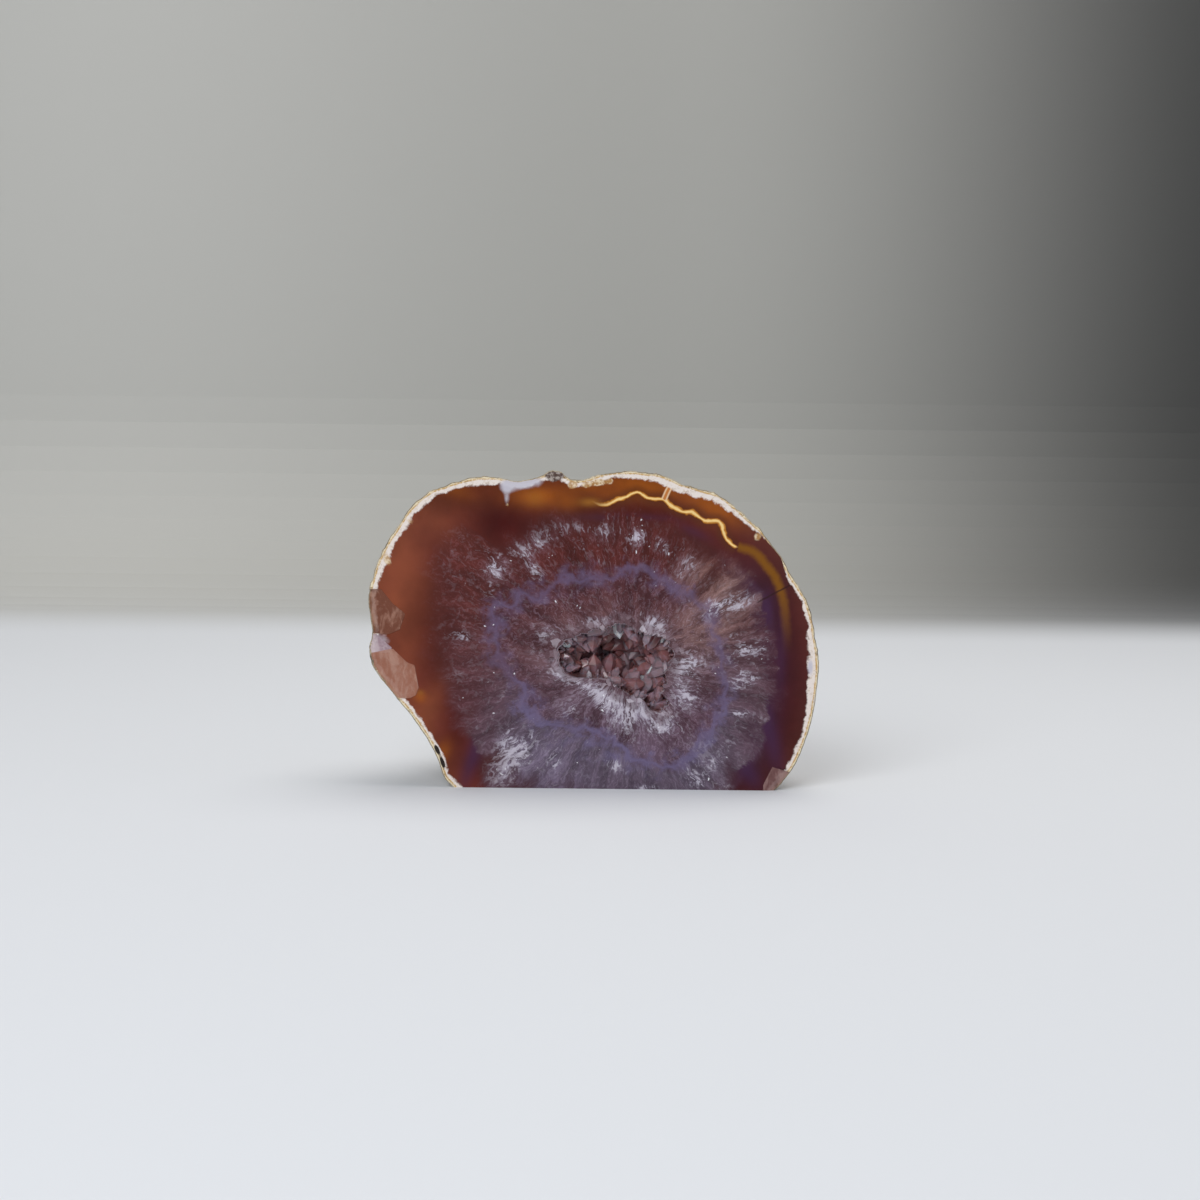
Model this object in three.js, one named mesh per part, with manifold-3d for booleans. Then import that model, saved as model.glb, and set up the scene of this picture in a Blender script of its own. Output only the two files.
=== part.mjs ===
// Agate geode end piece: the rounded end of a nodule, sawn and polished on its front face and sawn flat
// below, so that it stands upright. A hollow in the middle of the polished face is lined with quartz points.
// Millimetres, +Z up, the polished face looks along -Y and the origin is the middle of the foot.

import * as THREE from "three";
import { mergeVertices } from "three/addons/utils/BufferGeometryUtils.js";
import Module from "manifold-3d";

// Driving dimensions of the stone
const STONE_DEPTH = 30; // polished face to the rearmost point
const RIM_STEPS = 132; // samples around the nodule
const SKIN_RINGS = 26; // rings from the polished face to the rear pole
const RING_DENSITY = 1.1; // samples on a smaller ring over those that its width calls for
const SIDE_SQUARENESS = 0.78; // below 1 the sides stay wide further back
const BACK_SQUARENESS = 0.92; // below 1 the back is flatter
const POLE_DRIFT = { x: 2.5, z: -1.5 }; // the rear pole from the middle of the face
const RIM_KEEP = 4.5; // depth behind the rim over which the skin's relief fades in
const RIM_FADE = 10; // depth behind the rim over which the rim's notches ease out
const EASED_SPAN = 9; // samples on each side that the eased outline averages
const CORE_SHARE = 0.25; // the point that the relief is cut towards, as a share of the depth

// The weathered skin: rounded knobs that meet in creases, over broad hollows
const KNOB_COUNT = 96;
const KNOB_RADIUS = 4.6;
const KNOB_RELIEF = 1.4;
const KNOB_JITTER = 0.9; // radians round the nodule
const BROAD_RELIEF = 1.2;
const BROAD_WAVE = { x: 0.17, y: 0.21, z: 0.19 }; // radians per millimetre
const BROAD_PHASE = { x: 0.6, y: 1.9, z: 1.1 }; // radians
const GOLDEN_ANGLE = Math.PI * (3 - Math.sqrt(5));

// The natural rim on the polished face, x and z, clockwise from the foot's left corner to its right corner
const RIM = [
  [-20.2, 0], [-21.4, 1.3], [-22.1, 3.1], [-22.7, 4.7], [-23.8, 6.7], [-25.1, 8.7], [-26.7, 10.9],
  [-28.1, 12.5], [-29.8, 14.5], [-31.1, 16], [-32.1, 17.5], [-32.5, 19], [-32.5, 20.5], [-32.1, 22.1],
  [-32.3, 23.8], [-32.5, 25.6], [-32.7, 27.2], [-32.5, 28.9], [-32.1, 30.3], [-31.6, 32.1], [-30.9, 33.7],
  [-30.1, 35.4], [-29.1, 37], [-28, 38.6], [-27.1, 40.1], [-25.7, 41.6], [-23.8, 43.1], [-21.5, 44],
  [-19.1, 44.8], [-16.2, 45.3], [-13.8, 45.2], [-11.9, 44.8], [-9.4, 45], [-7.6, 45.6], [-6.6, 46.2],
  [-5.3, 46.2], [-4.1, 45.5], [-3, 45], [-1.5, 45.1], [0.9, 45.9], [3.9, 46.3], [6.8, 46.2], [9.7, 45.8],
  [12.6, 44.6], [15.1, 43.9], [18, 43], [20.4, 41.3], [22.3, 39.6], [24, 38.1], [25.6, 36.1], [27.1, 34.1],
  [28.5, 31.7], [29.8, 29.7], [31, 27.6], [31.7, 25.4], [32.2, 22.5], [32.7, 19.6], [32.7, 16.2],
  [32.4, 13.2], [31.8, 9.9], [30.9, 7], [29.7, 4.1], [28.3, 1.8], [26.7, 0],
];
// The rest of the nodule's outline, which the saw took away below the foot
const SAWN_AWAY = [
  [24, -2.3], [19.4, -5], [12.9, -7.1], [5.6, -8.2], [-1.7, -8.3], [-9, -7.1], [-14.8, -4.8], [-18.2, -2.3],
];

// The hollow: its mouth on the polished face, clockwise from the left
const MOUTH = [
  [-5.1, 19.2], [-4.5, 21.5], [-2.3, 22.4], [-0.3, 23.2], [1.8, 23.4], [3.7, 24.3], [5.7, 23.4],
  [7.7, 22.5], [9.8, 22.4], [11.1, 21.3], [11.7, 19.9], [11.2, 18.4], [10.6, 16.9], [10.8, 15.3], [10, 14],
  [11.2, 12.8], [10.5, 11.6], [8.3, 11.6], [7.5, 13], [5.8, 13.6], [4.6, 14.2], [3.4, 14.8], [2.6, 15.8],
  [1, 16.2], [-1.4, 16.1], [-3.6, 16.5], [-4.9, 17.8],
];
const MOUTH_STEPS = 44;
const HOLLOW_DEPTH = 11;
const HOLLOW_RINGS = 5;
const HOLLOW_AXIS = { x: 5.2, z: 18.2 };
const HOLLOW_ROUNDNESS = 0.6; // below 1 the wall stays wide further down

// The crust of quartz points on the hollow's wall
const CRUST_GAP = 0.3; // between the crust and the stone
const CRUST_LINING = 1.1; // depth of the lining that the points grow from
const LINING_SHARE = 0.86; // the lining's inner width over its outer width
const CRUST_SETBACK = 0.1; // behind the polished face
const POINT_COUNT = 38;
const POINT_SPREAD = 1.45; // radians from the mouth towards the middle of the floor
const POINT_SWAY = 2.5; // how far the points miss the hollow's axis
const POINT_RADIUS = [0.6, 1.15];
const POINT_SMALLNESS = 1.5; // above 1 most points are small ones
const POINT_SHAFT = [0.8, 1.4]; // from the crust's back to the pyramid
const POINT_TIP = 1.25; // height of the pyramid over the shaft's radius
const SIDES_OF_QUARTZ = 6;

// Flake scars on the face's edge: x, z and the scar's depth behind the face at each corner
const SCARS = [
  [[-30.8, 28.9, 0], [-29, 26.7, 0], [-27.2, 25.3, 0], [-28, 22.9, 0], [-29.6, 22.2, 0], [-33.6, 22.4, 1.5],
    [-33.9, 28.6, 1.1]],
  [[-31.4, 22.3, 0], [-29, 20.2, 0], [-29.6, 19.5, 0.5], [-33.7, 19.3, 1.6], [-33.7, 22.4, 1.2]],
  [[-29, 20.2, 0], [-26.9, 18.2, 0], [-25.8, 17.8, 0], [-25.2, 14.5, 0], [-25.6, 13.4, 0], [-26.5, 12.9, 0],
    [-31.8, 13, 1.6], [-34.4, 18.9, 1.9], [-31.5, 19.6, 0.9]],
  [[26.2, 3.5, 0], [24.9, 0.8, 0], [25, -1, 0], [28.4, -1, 0.9], [29.5, 2.5, 0.7]],
];
const SCAR_REACH = 3; // the cutter's height in front of the face
const MOUTH_REACH = 1; // how far a cutter for the hollow stands in front of the face
const SAW_SIZE = 200; // edge of the block that the saw takes away below the foot
const MERGE_DISTANCE = 1e-4; // corners nearer than this are one corner

const STONE_FINISH = { color: new THREE.Color(0.36, 0.17, 0.13), roughness: 0.35, metalness: 0 };
const QUARTZ_FINISH = { color: new THREE.Color(0.52, 0.4, 0.42), roughness: 0.2, metalness: 0 };

const wasm = await Module();
wasm.setup();

// A number from 0 to 1 that looks random and is the same every time
function scatter(index, salt) {
  const value = Math.sin(index * 12.9898 + salt * 78.233) * 43758.5453;
  return value - Math.floor(value);
}

const mix = (low, high, share) => low + (high - low) * share;

// The closed solid that a geometry bounds
function solidOf(geometry) {
  const bare = geometry.clone();
  bare.deleteAttribute("normal");
  bare.deleteAttribute("uv");
  const merged = mergeVertices(bare, MERGE_DISTANCE);
  return new wasm.Manifold(new wasm.Mesh({
    numProp: 3,
    vertProperties: new Float32Array(merged.getAttribute("position").array),
    triVerts: new Uint32Array(merged.index.array),
  }));
}

// The geometry of a closed solid
function geometryOf(solid) {
  const { vertProperties, triVerts } = solid.getMesh();
  const geometry = new THREE.BufferGeometry();
  geometry.setAttribute("position", new THREE.BufferAttribute(vertProperties, 3));
  geometry.setIndex(new THREE.BufferAttribute(triVerts, 1));
  geometry.computeVertexNormals();
  return geometry;
}

// The largest closed skin of a solid, with any pocket that it encloses filled in
function outermost(solid) {
  return solid.decompose().reduce((largest, piece) => (piece.volume() > largest.volume() ? piece : largest));
}

// An outline's points, evenly spaced along a smooth closed curve in the plane of the face
function smoothOutline(corners, steps) {
  const points = corners.map(([x, z]) => new THREE.Vector3(x, 0, z));
  const curve = new THREE.CatmullRomCurve3(points, true, "centripetal");
  return curve.getSpacedPoints(steps).slice(0, steps);
}

function middleOf(points) {
  return new THREE.Box3().setFromPoints(points).getCenter(new THREE.Vector3());
}

// Triangles between two rings of points that start side by side, whatever their counts
function bridgeRings(nearStart, nearCount, farStart, farCount) {
  const faces = [];
  let near = 0;
  let far = 0;
  while (near < nearCount || far < farCount) {
    const nearPoint = nearStart + (near % nearCount);
    const farPoint = farStart + (far % farCount);
    if ((near + 1) * farCount <= (far + 1) * nearCount) {
      near += 1;
      faces.push(nearPoint, nearStart + (near % nearCount), farPoint);
    } else {
      far += 1;
      if (farCount > 1) faces.push(nearPoint, farStart + (far % farCount), farPoint);
    }
  }
  return faces;
}

// A closed body from a stack of outlines: the first is capped flat and the last closes on a pole behind it
function stackedBody(rings, pole) {
  const positions = [...rings.flat(), pole].flatMap((point) => point.toArray());
  const faces = [];
  let start = 0;
  rings.forEach((ring, level) => {
    const next = rings[level + 1] ?? [pole];
    faces.push(...bridgeRings(start, ring.length, start + ring.length, next.length));
    start += ring.length;
  });
  const front = rings[0].length;
  const contour = rings[0].map((point) => new THREE.Vector2(point.x, point.z)).reverse();
  for (const triangle of THREE.ShapeUtils.triangulateShape(contour, [])) {
    faces.push(...triangle.map((corner) => front - 1 - corner));
  }
  const geometry = new THREE.BufferGeometry();
  geometry.setAttribute("position", new THREE.Float32BufferAttribute(positions, 3));
  geometry.setIndex(faces);
  return solidOf(geometry);
}

// An outline with its notches averaged away
function easedOutline(outline) {
  const width = 2 * EASED_SPAN + 1;
  return outline.map((_, step) => {
    const sum = new THREE.Vector3();
    for (let offset = -EASED_SPAN; offset <= EASED_SPAN; offset += 1) {
      sum.add(outline[(step + offset + outline.length) % outline.length]);
    }
    return sum.divideScalar(width);
  });
}

// The smooth dome behind the face: angle zero is the rim and a right angle is the rear pole
function domePoint(sharp, eased, middle, angle) {
  const depth = STONE_DEPTH * Math.sin(angle) ** BACK_SQUARENESS;
  const start = sharp.clone().lerp(eased, THREE.MathUtils.smoothstep(depth, 0, RIM_FADE));
  const drift = Math.sin(angle) ** 2;
  const point = middle.clone().lerp(start, Math.cos(angle) ** SIDE_SQUARENESS);
  return point.set(point.x + POLE_DRIFT.x * drift, depth, point.z + POLE_DRIFT.z * drift);
}

// The point a share of the way round an outline
function pointAlong(outline, share) {
  const place = share * outline.length;
  const step = Math.floor(place);
  return outline[step].clone().lerp(outline[(step + 1) % outline.length], place - step);
}

// Middles of the knobs, spread over the dome by the golden angle
function knobMiddles(outline, middle) {
  return Array.from({ length: KNOB_COUNT }, (_, index) => {
    const angle = Math.asin((index + 0.5) / KNOB_COUNT);
    const around = (index * GOLDEN_ANGLE + scatter(index, 1) * KNOB_JITTER) / (2 * Math.PI);
    const start = pointAlong(outline, around % 1);
    return domePoint(start, start, middle, angle);
  });
}

// How far the skin lies inside the smooth dome at a point: creases between knobs, and broad hollows
function skinRelief(point, knobs) {
  const nearest = Math.min(...knobs.map((knob) => knob.distanceTo(point)));
  const crease = KNOB_RELIEF * Math.min(1, (nearest / KNOB_RADIUS) ** 2);
  const wave = ["x", "y", "z"].reduce(
    (product, axis) => product * Math.sin(point[axis] * BROAD_WAVE[axis] + BROAD_PHASE[axis]), 1);
  return crease + (BROAD_RELIEF * (1 - wave)) / 2;
}

// The whole nodule behind the polished face, before it gets its foot
function noduleBody() {
  const rim = smoothOutline([...RIM, ...SAWN_AWAY], RIM_STEPS);
  const eased = easedOutline(rim);
  const middle = middleOf(rim);
  const knobs = knobMiddles(eased, middle);
  const core = new THREE.Vector3(middle.x, STONE_DEPTH * CORE_SHARE, middle.z);
  const skinPoint = (share, angle) => {
    const point = domePoint(pointAlong(rim, share), pointAlong(eased, share), middle, angle);
    const inward = core.clone().sub(point).normalize();
    const fade = THREE.MathUtils.smoothstep(point.y, 0, RIM_KEEP);
    return point.addScaledVector(inward, fade * skinRelief(point, knobs));
  };
  const rings = Array.from({ length: SKIN_RINGS }, (_, level) => {
    const angle = (level / SKIN_RINGS) * (Math.PI / 2);
    const share = Math.cos(angle) ** SIDE_SQUARENESS;
    const steps = Math.min(RIM_STEPS, Math.round(RIM_STEPS * share * RING_DENSITY));
    return Array.from({ length: steps }, (__, step) => skinPoint(step / steps, angle));
  });
  return stackedBody(rings, skinPoint(0, Math.PI / 2));
}

// The hollow's mouth on the polished face, drawn in by an inset square to its edge
function mouthOutline(inset) {
  const mouth = smoothOutline(MOUTH, MOUTH_STEPS);
  return mouth.map((point, step) => {
    const before = mouth[(step + MOUTH_STEPS - 1) % MOUTH_STEPS];
    const after = mouth[(step + 1) % MOUTH_STEPS];
    const along = after.clone().sub(before).normalize();
    return new THREE.Vector3(point.x + along.z * inset, 0, point.z - along.x * inset);
  });
}

// A point of the hollow's wall: from the mouth at angle zero down to the floor at a right angle
function wallPoint(start, axis, floor, angle) {
  const point = axis.clone().lerp(start, Math.cos(angle) ** HOLLOW_ROUNDNESS);
  return point.setY(floor * Math.sin(angle));
}

// A bowl below an outline, closed in front at a given depth
function bowlBody(outline, floor, front) {
  const axis = new THREE.Vector3(HOLLOW_AXIS.x, 0, HOLLOW_AXIS.z);
  const rings = Array.from({ length: HOLLOW_RINGS }, (_, ring) => {
    const angle = (ring / HOLLOW_RINGS) * (Math.PI / 2);
    return outline.map((start) => wallPoint(start, axis, floor, angle));
  });
  const lid = outline.map((point) => point.clone().setY(front));
  const body = front < 0 ? [lid, ...rings] : [lid, ...rings.slice(1)];
  return stackedBody(body, new THREE.Vector3(axis.x, floor, axis.z));
}

// One quartz point: a six-sided shaft with a six-sided pyramid
function quartzPoint(radius, shaft) {
  const profile = [
    new THREE.Vector2(0, 0),
    new THREE.Vector2(radius, 0),
    new THREE.Vector2(radius, shaft),
    new THREE.Vector2(0, shaft + radius * POINT_TIP),
  ];
  return new THREE.LatheGeometry(profile, SIDES_OF_QUARTZ);
}

// The crust: a thin lining with quartz points, which keeps clear of the stone and of the plane of the face
function crustBody() {
  const axis = new THREE.Vector3(HOLLOW_AXIS.x, 0, HOLLOW_AXIS.z);
  const outline = mouthOutline(CRUST_GAP);
  const floor = HOLLOW_DEPTH - CRUST_GAP;
  const space = bowlBody(outline, floor, CRUST_SETBACK);
  const narrowed = outline.map((point) => axis.clone().lerp(point, LINING_SHARE));
  let crust = space.subtract(bowlBody(narrowed, floor - CRUST_LINING, -MOUTH_REACH));
  for (let index = 0; index < POINT_COUNT; index += 1) {
    const angle = ((index + 0.5) / POINT_COUNT) * POINT_SPREAD;
    const around = (index * GOLDEN_ANGLE) / (2 * Math.PI);
    const step = Math.floor((around % 1) * MOUTH_STEPS);
    const root = wallPoint(outline[step], axis, floor, angle);
    const aim = new THREE.Vector3(
      axis.x + mix(-POINT_SWAY, POINT_SWAY, scatter(index, 2)),
      mix(-POINT_SWAY, POINT_SWAY, scatter(index, 3)),
      axis.z + mix(-POINT_SWAY, POINT_SWAY, scatter(index, 4)),
    ).sub(root).normalize();
    const shape = quartzPoint(
      mix(...POINT_RADIUS, scatter(index, 5) ** POINT_SMALLNESS),
      mix(...POINT_SHAFT, scatter(index, 6)),
    );
    const lean = new THREE.Quaternion().setFromUnitVectors(new THREE.Vector3(0, 1, 0), aim);
    const spin = new THREE.Quaternion().setFromAxisAngle(aim, scatter(index, 7) * Math.PI);
    shape.applyQuaternion(spin.multiply(lean)).translate(root.x, root.y, root.z);
    crust = crust.add(solidOf(shape).intersect(space));
  }
  return outermost(crust);
}

// The flake that left one scar: it reaches in front of the face and down to the scar's own slope
function flakeBody(corners) {
  const contour = corners.map(([x, z]) => new THREE.Vector2(x, z));
  const clockwise = THREE.ShapeUtils.isClockWise(contour);
  const ordered = clockwise ? corners : [...corners].reverse();
  const front = ordered.map(([x, z]) => new THREE.Vector3(x, -SCAR_REACH, z));
  const floor = ordered.map(([x, z, depth]) => new THREE.Vector3(x, depth, z));
  const middle = floor.reduce((sum, point) => sum.add(point), new THREE.Vector3()).divideScalar(floor.length);
  return stackedBody([front, floor], middle);
}

function box(size, centre) {
  return solidOf(new THREE.BoxGeometry(...size).translate(...centre));
}

// The stone: the nodule sawn flat at its foot, with its hollow and its scars
function stoneBody() {
  const sawn = box([SAW_SIZE, SAW_SIZE, SAW_SIZE], [0, 0, -SAW_SIZE / 2]);
  let stone = noduleBody().subtract(sawn).subtract(bowlBody(mouthOutline(0), HOLLOW_DEPTH, -MOUTH_REACH));
  for (const corners of SCARS) stone = stone.subtract(flakeBody(corners));
  return outermost(stone);
}

function namedMesh(name, geometry, finish) {
  const mesh = new THREE.Mesh(geometry, new THREE.MeshStandardMaterial(finish));
  mesh.name = name;
  return mesh;
}

const stone = geometryOf(stoneBody());
const crust = geometryOf(crustBody());
stone.computeBoundingBox();
const foot = stone.boundingBox.getCenter(new THREE.Vector3()).setZ(stone.boundingBox.min.z);

const geode = new THREE.Group();
geode.add(namedMesh("agate_stone", stone, STONE_FINISH));
geode.add(namedMesh("quartz_crust", crust, QUARTZ_FINISH));
geode.position.copy(foot).negate();

export default geode;
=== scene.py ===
"""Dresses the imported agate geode: the polished face, the weathered rind and the quartz in the hollow."""

import math

import bmesh
import bpy
import numpy as np
from mathutils import Matrix, Vector, noise


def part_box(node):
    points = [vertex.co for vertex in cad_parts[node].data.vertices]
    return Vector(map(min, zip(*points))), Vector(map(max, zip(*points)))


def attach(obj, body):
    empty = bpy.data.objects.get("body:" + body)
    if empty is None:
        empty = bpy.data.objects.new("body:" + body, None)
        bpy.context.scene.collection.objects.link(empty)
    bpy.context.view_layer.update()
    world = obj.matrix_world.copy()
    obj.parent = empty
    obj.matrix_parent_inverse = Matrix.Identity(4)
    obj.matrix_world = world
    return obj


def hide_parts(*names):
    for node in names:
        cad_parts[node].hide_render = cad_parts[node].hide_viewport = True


bl_info = {
    "name": "Agate Geode",
    "version": (1, 0, 0),
    "blender": (4, 5, 0),
    "location": "View3D > Sidebar > Geode",
    "description": "Polished agate geode with a quartz-lined hollow, on a studio floor",
    "category": "Add Mesh",
}

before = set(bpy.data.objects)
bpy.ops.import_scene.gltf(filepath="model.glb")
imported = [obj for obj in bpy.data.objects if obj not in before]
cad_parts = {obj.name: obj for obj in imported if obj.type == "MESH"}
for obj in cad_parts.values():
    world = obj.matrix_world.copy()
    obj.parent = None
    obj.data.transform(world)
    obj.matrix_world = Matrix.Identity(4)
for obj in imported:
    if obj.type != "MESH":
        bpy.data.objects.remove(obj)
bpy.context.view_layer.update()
STONE_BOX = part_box("agate_stone")
MM = 0.001

# Outlines on the polished face, x and z in millimetres from the middle of the foot
RIM = (
    (-20.2, 0), (-21.4, 1.3), (-22.1, 3.1), (-22.7, 4.7), (-23.8, 6.7), (-25.1, 8.7), (-26.7, 10.9),
    (-28.1, 12.5), (-29.8, 14.5), (-31.1, 16), (-32.1, 17.5), (-32.5, 19), (-32.5, 20.5), (-32.1, 22.1),
    (-32.3, 23.8), (-32.5, 25.6), (-32.7, 27.2), (-32.5, 28.9), (-32.1, 30.3), (-31.6, 32.1), (-30.9, 33.7),
    (-30.1, 35.4), (-29.1, 37), (-28, 38.6), (-27.1, 40.1), (-25.7, 41.6), (-23.8, 43.1), (-21.5, 44),
    (-19.1, 44.8), (-16.2, 45.3), (-13.8, 45.2), (-11.9, 44.8), (-9.4, 45), (-7.6, 45.6), (-6.6, 46.2),
    (-5.3, 46.2), (-4.1, 45.5), (-3, 45), (-1.5, 45.1), (0.9, 45.9), (3.9, 46.3), (6.8, 46.2), (9.7, 45.8),
    (12.6, 44.6), (15.1, 43.9), (18, 43), (20.4, 41.3), (22.3, 39.6), (24, 38.1), (25.6, 36.1),
    (27.1, 34.1), (28.5, 31.7), (29.8, 29.7), (31, 27.6), (31.7, 25.4), (32.2, 22.5), (32.7, 19.6),
    (32.7, 16.2), (32.4, 13.2), (31.8, 9.9), (30.9, 7), (29.7, 4.1), (28.3, 1.8), (26.7, 0),
)
SAWN_AWAY = (
    (24, -2.3), (19.4, -5), (12.9, -7.1), (5.6, -8.2), (-1.7, -8.3), (-9, -7.1), (-14.8, -4.8),
    (-18.2, -2.3),
)
MOUTH = (
    (-5.1, 19.2), (-4.5, 21.5), (-2.3, 22.4), (-0.3, 23.2), (1.8, 23.4), (3.7, 24.3), (5.7, 23.4),
    (7.7, 22.5), (9.8, 22.4), (11.1, 21.3), (11.7, 19.9), (11.2, 18.4), (10.6, 16.9), (10.8, 15.3),
    (10, 14), (11.2, 12.8), (10.5, 11.6), (8.3, 11.6), (7.5, 13), (5.8, 13.6), (4.6, 14.2), (3.4, 14.8),
    (2.6, 15.8), (1, 16.2), (-1.4, 16.1), (-3.6, 16.5), (-4.9, 17.8),
)
CRYSTAL_EDGE = (
    (-15.1, 0.1), (-16, 3.5), (-17.1, 6.9), (-18.6, 10.3), (-20.2, 13.7), (-21.4, 17.1), (-22.3, 21),
    (-22.9, 24.8), (-22.9, 28.7), (-22.1, 32.6), (-20.9, 35.7), (-18.5, 37.2), (-16.1, 36.4), (-14.6, 34.6),
    (-11.3, 34.7), (-9.1, 37.1), (-7, 39.2), (-4.1, 39.8), (-0.7, 39.6), (3.1, 39.7), (6.5, 39.5),
    (9.8, 38.5), (13.2, 36.9), (16.1, 35.3), (19.1, 33.3), (22, 30.9), (24.4, 28.3), (25.5, 25.4),
    (26.2, 22), (26.8, 18.6), (26.7, 15.2), (26.1, 11.8), (25, 8.4), (23.6, 4.9), (21.9, 2.5), (20.5, 0.2),
    (15, -4), (4, -6), (-8, -5), (-13, -2.5),
)
LAVENDER_RING = (
    (-14.6, 26.4), (-14.2, 24.7), (-14.5, 22.7), (-14, 20.1), (-13.5, 18.2), (-11.8, 16.2), (-9.9, 14.7),
    (-10, 12.4), (-8.2, 10.5), (-5.3, 9.9), (-1.9, 9.1), (1.5, 7.6), (4.2, 6.4), (5.9, 4.5), (8.4, 3.8),
    (11.3, 3.1), (13.7, 4.1), (14.9, 6.3), (16.8, 8), (18.4, 10.7), (19.3, 13.4), (18.9, 16.6),
    (18.5, 19.5), (17.8, 22.4), (17, 25), (15.3, 27.4), (13.3, 28.6), (10.9, 29.8), (8, 31.5), (5.8, 32.3),
    (3.2, 31.3), (0.3, 30.5), (-2.1, 30.5), (-3.8, 30.5), (-5.9, 29.3), (-8.3, 27.8), (-10.5, 27.9),
    (-12.2, 26.6),
)

# Lines on the face
VEIN = (
    (-0.6, 42), (0.3, 41.5), (1.5, 41.3), (2.4, 41.6), (3.1, 42), (4, 42.3), (4.7, 42.6), (5.7, 43.1),
    (6.3, 43.2), (7.4, 42.5), (8.4, 42.3), (9.4, 42.3), (10, 42.2), (10.9, 41.4), (12.1, 40.7), (13, 40.4),
    (14, 40.5), (14.8, 39.9), (15.8, 39.3), (16.8, 39.2), (17.9, 39.2), (18.4, 38.5), (18.6, 37.6),
    (19.2, 36.4), (20, 35.7), (20.7, 35.4),
)
VEIN_BRANCH = ((10, 42.2), (10.5, 43.4), (11, 44.3))
MUSTARD_BAND = (
    (20.7, 35.5), (21.9, 35.2), (23.1, 34.7), (24.1, 33.8), (24.9, 32.8), (25.9, 31.6), (26.6, 30.3),
    (27, 29.2), (27.5, 27.4), (27.8, 24.9), (28, 22), (28, 19.1),
)
FRACTURE = ((23.4, 27.3), (24.3, 27.8), (26.3, 28.9), (28.7, 30.2))

# Flake scars on the face's edge: x, z and the scar's depth behind the face at each corner
SCARS = {
    "brown": (
        (-30.8, 28.9, 0), (-29, 26.7, 0), (-27.2, 25.3, 0), (-28, 22.9, 0), (-29.6, 22.2, 0),
        (-33.6, 22.4, 1.5), (-33.9, 28.6, 1.1),
    ),
    "white": ((-31.4, 22.3, 0), (-29, 20.2, 0), (-29.6, 19.5, 0.5), (-33.7, 19.3, 1.6), (-33.7, 22.4, 1.2)),
    "tan": (
        (-29, 20.2, 0), (-26.9, 18.2, 0), (-25.8, 17.8, 0), (-25.2, 14.5, 0), (-25.6, 13.4, 0),
        (-26.5, 12.9, 0), (-31.8, 13, 1.6), (-34.4, 18.9, 1.9), (-31.5, 19.6, 0.9),
    ),
    "small": ((26.2, 3.5, 0), (24.9, 0.8, 0), (25, -1, 0), (28.4, -1, 0.9), (29.5, 2.5, 0.7)),
}

# The scars' streaks: where the noise turns from the first display colour to the second
SCAR_COLOURS = (
    ("brown", 0.45, 0.62, (116, 74, 60), (156, 116, 100)),
    ("white", 0.4, 0.6, (196, 178, 182), (166, 142, 150)),
    ("tan", 0.4, 0.65, (158, 108, 90), (178, 138, 122)),
    ("small", 0.4, 0.6, (120, 86, 84), (150, 118, 114)),
)

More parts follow.
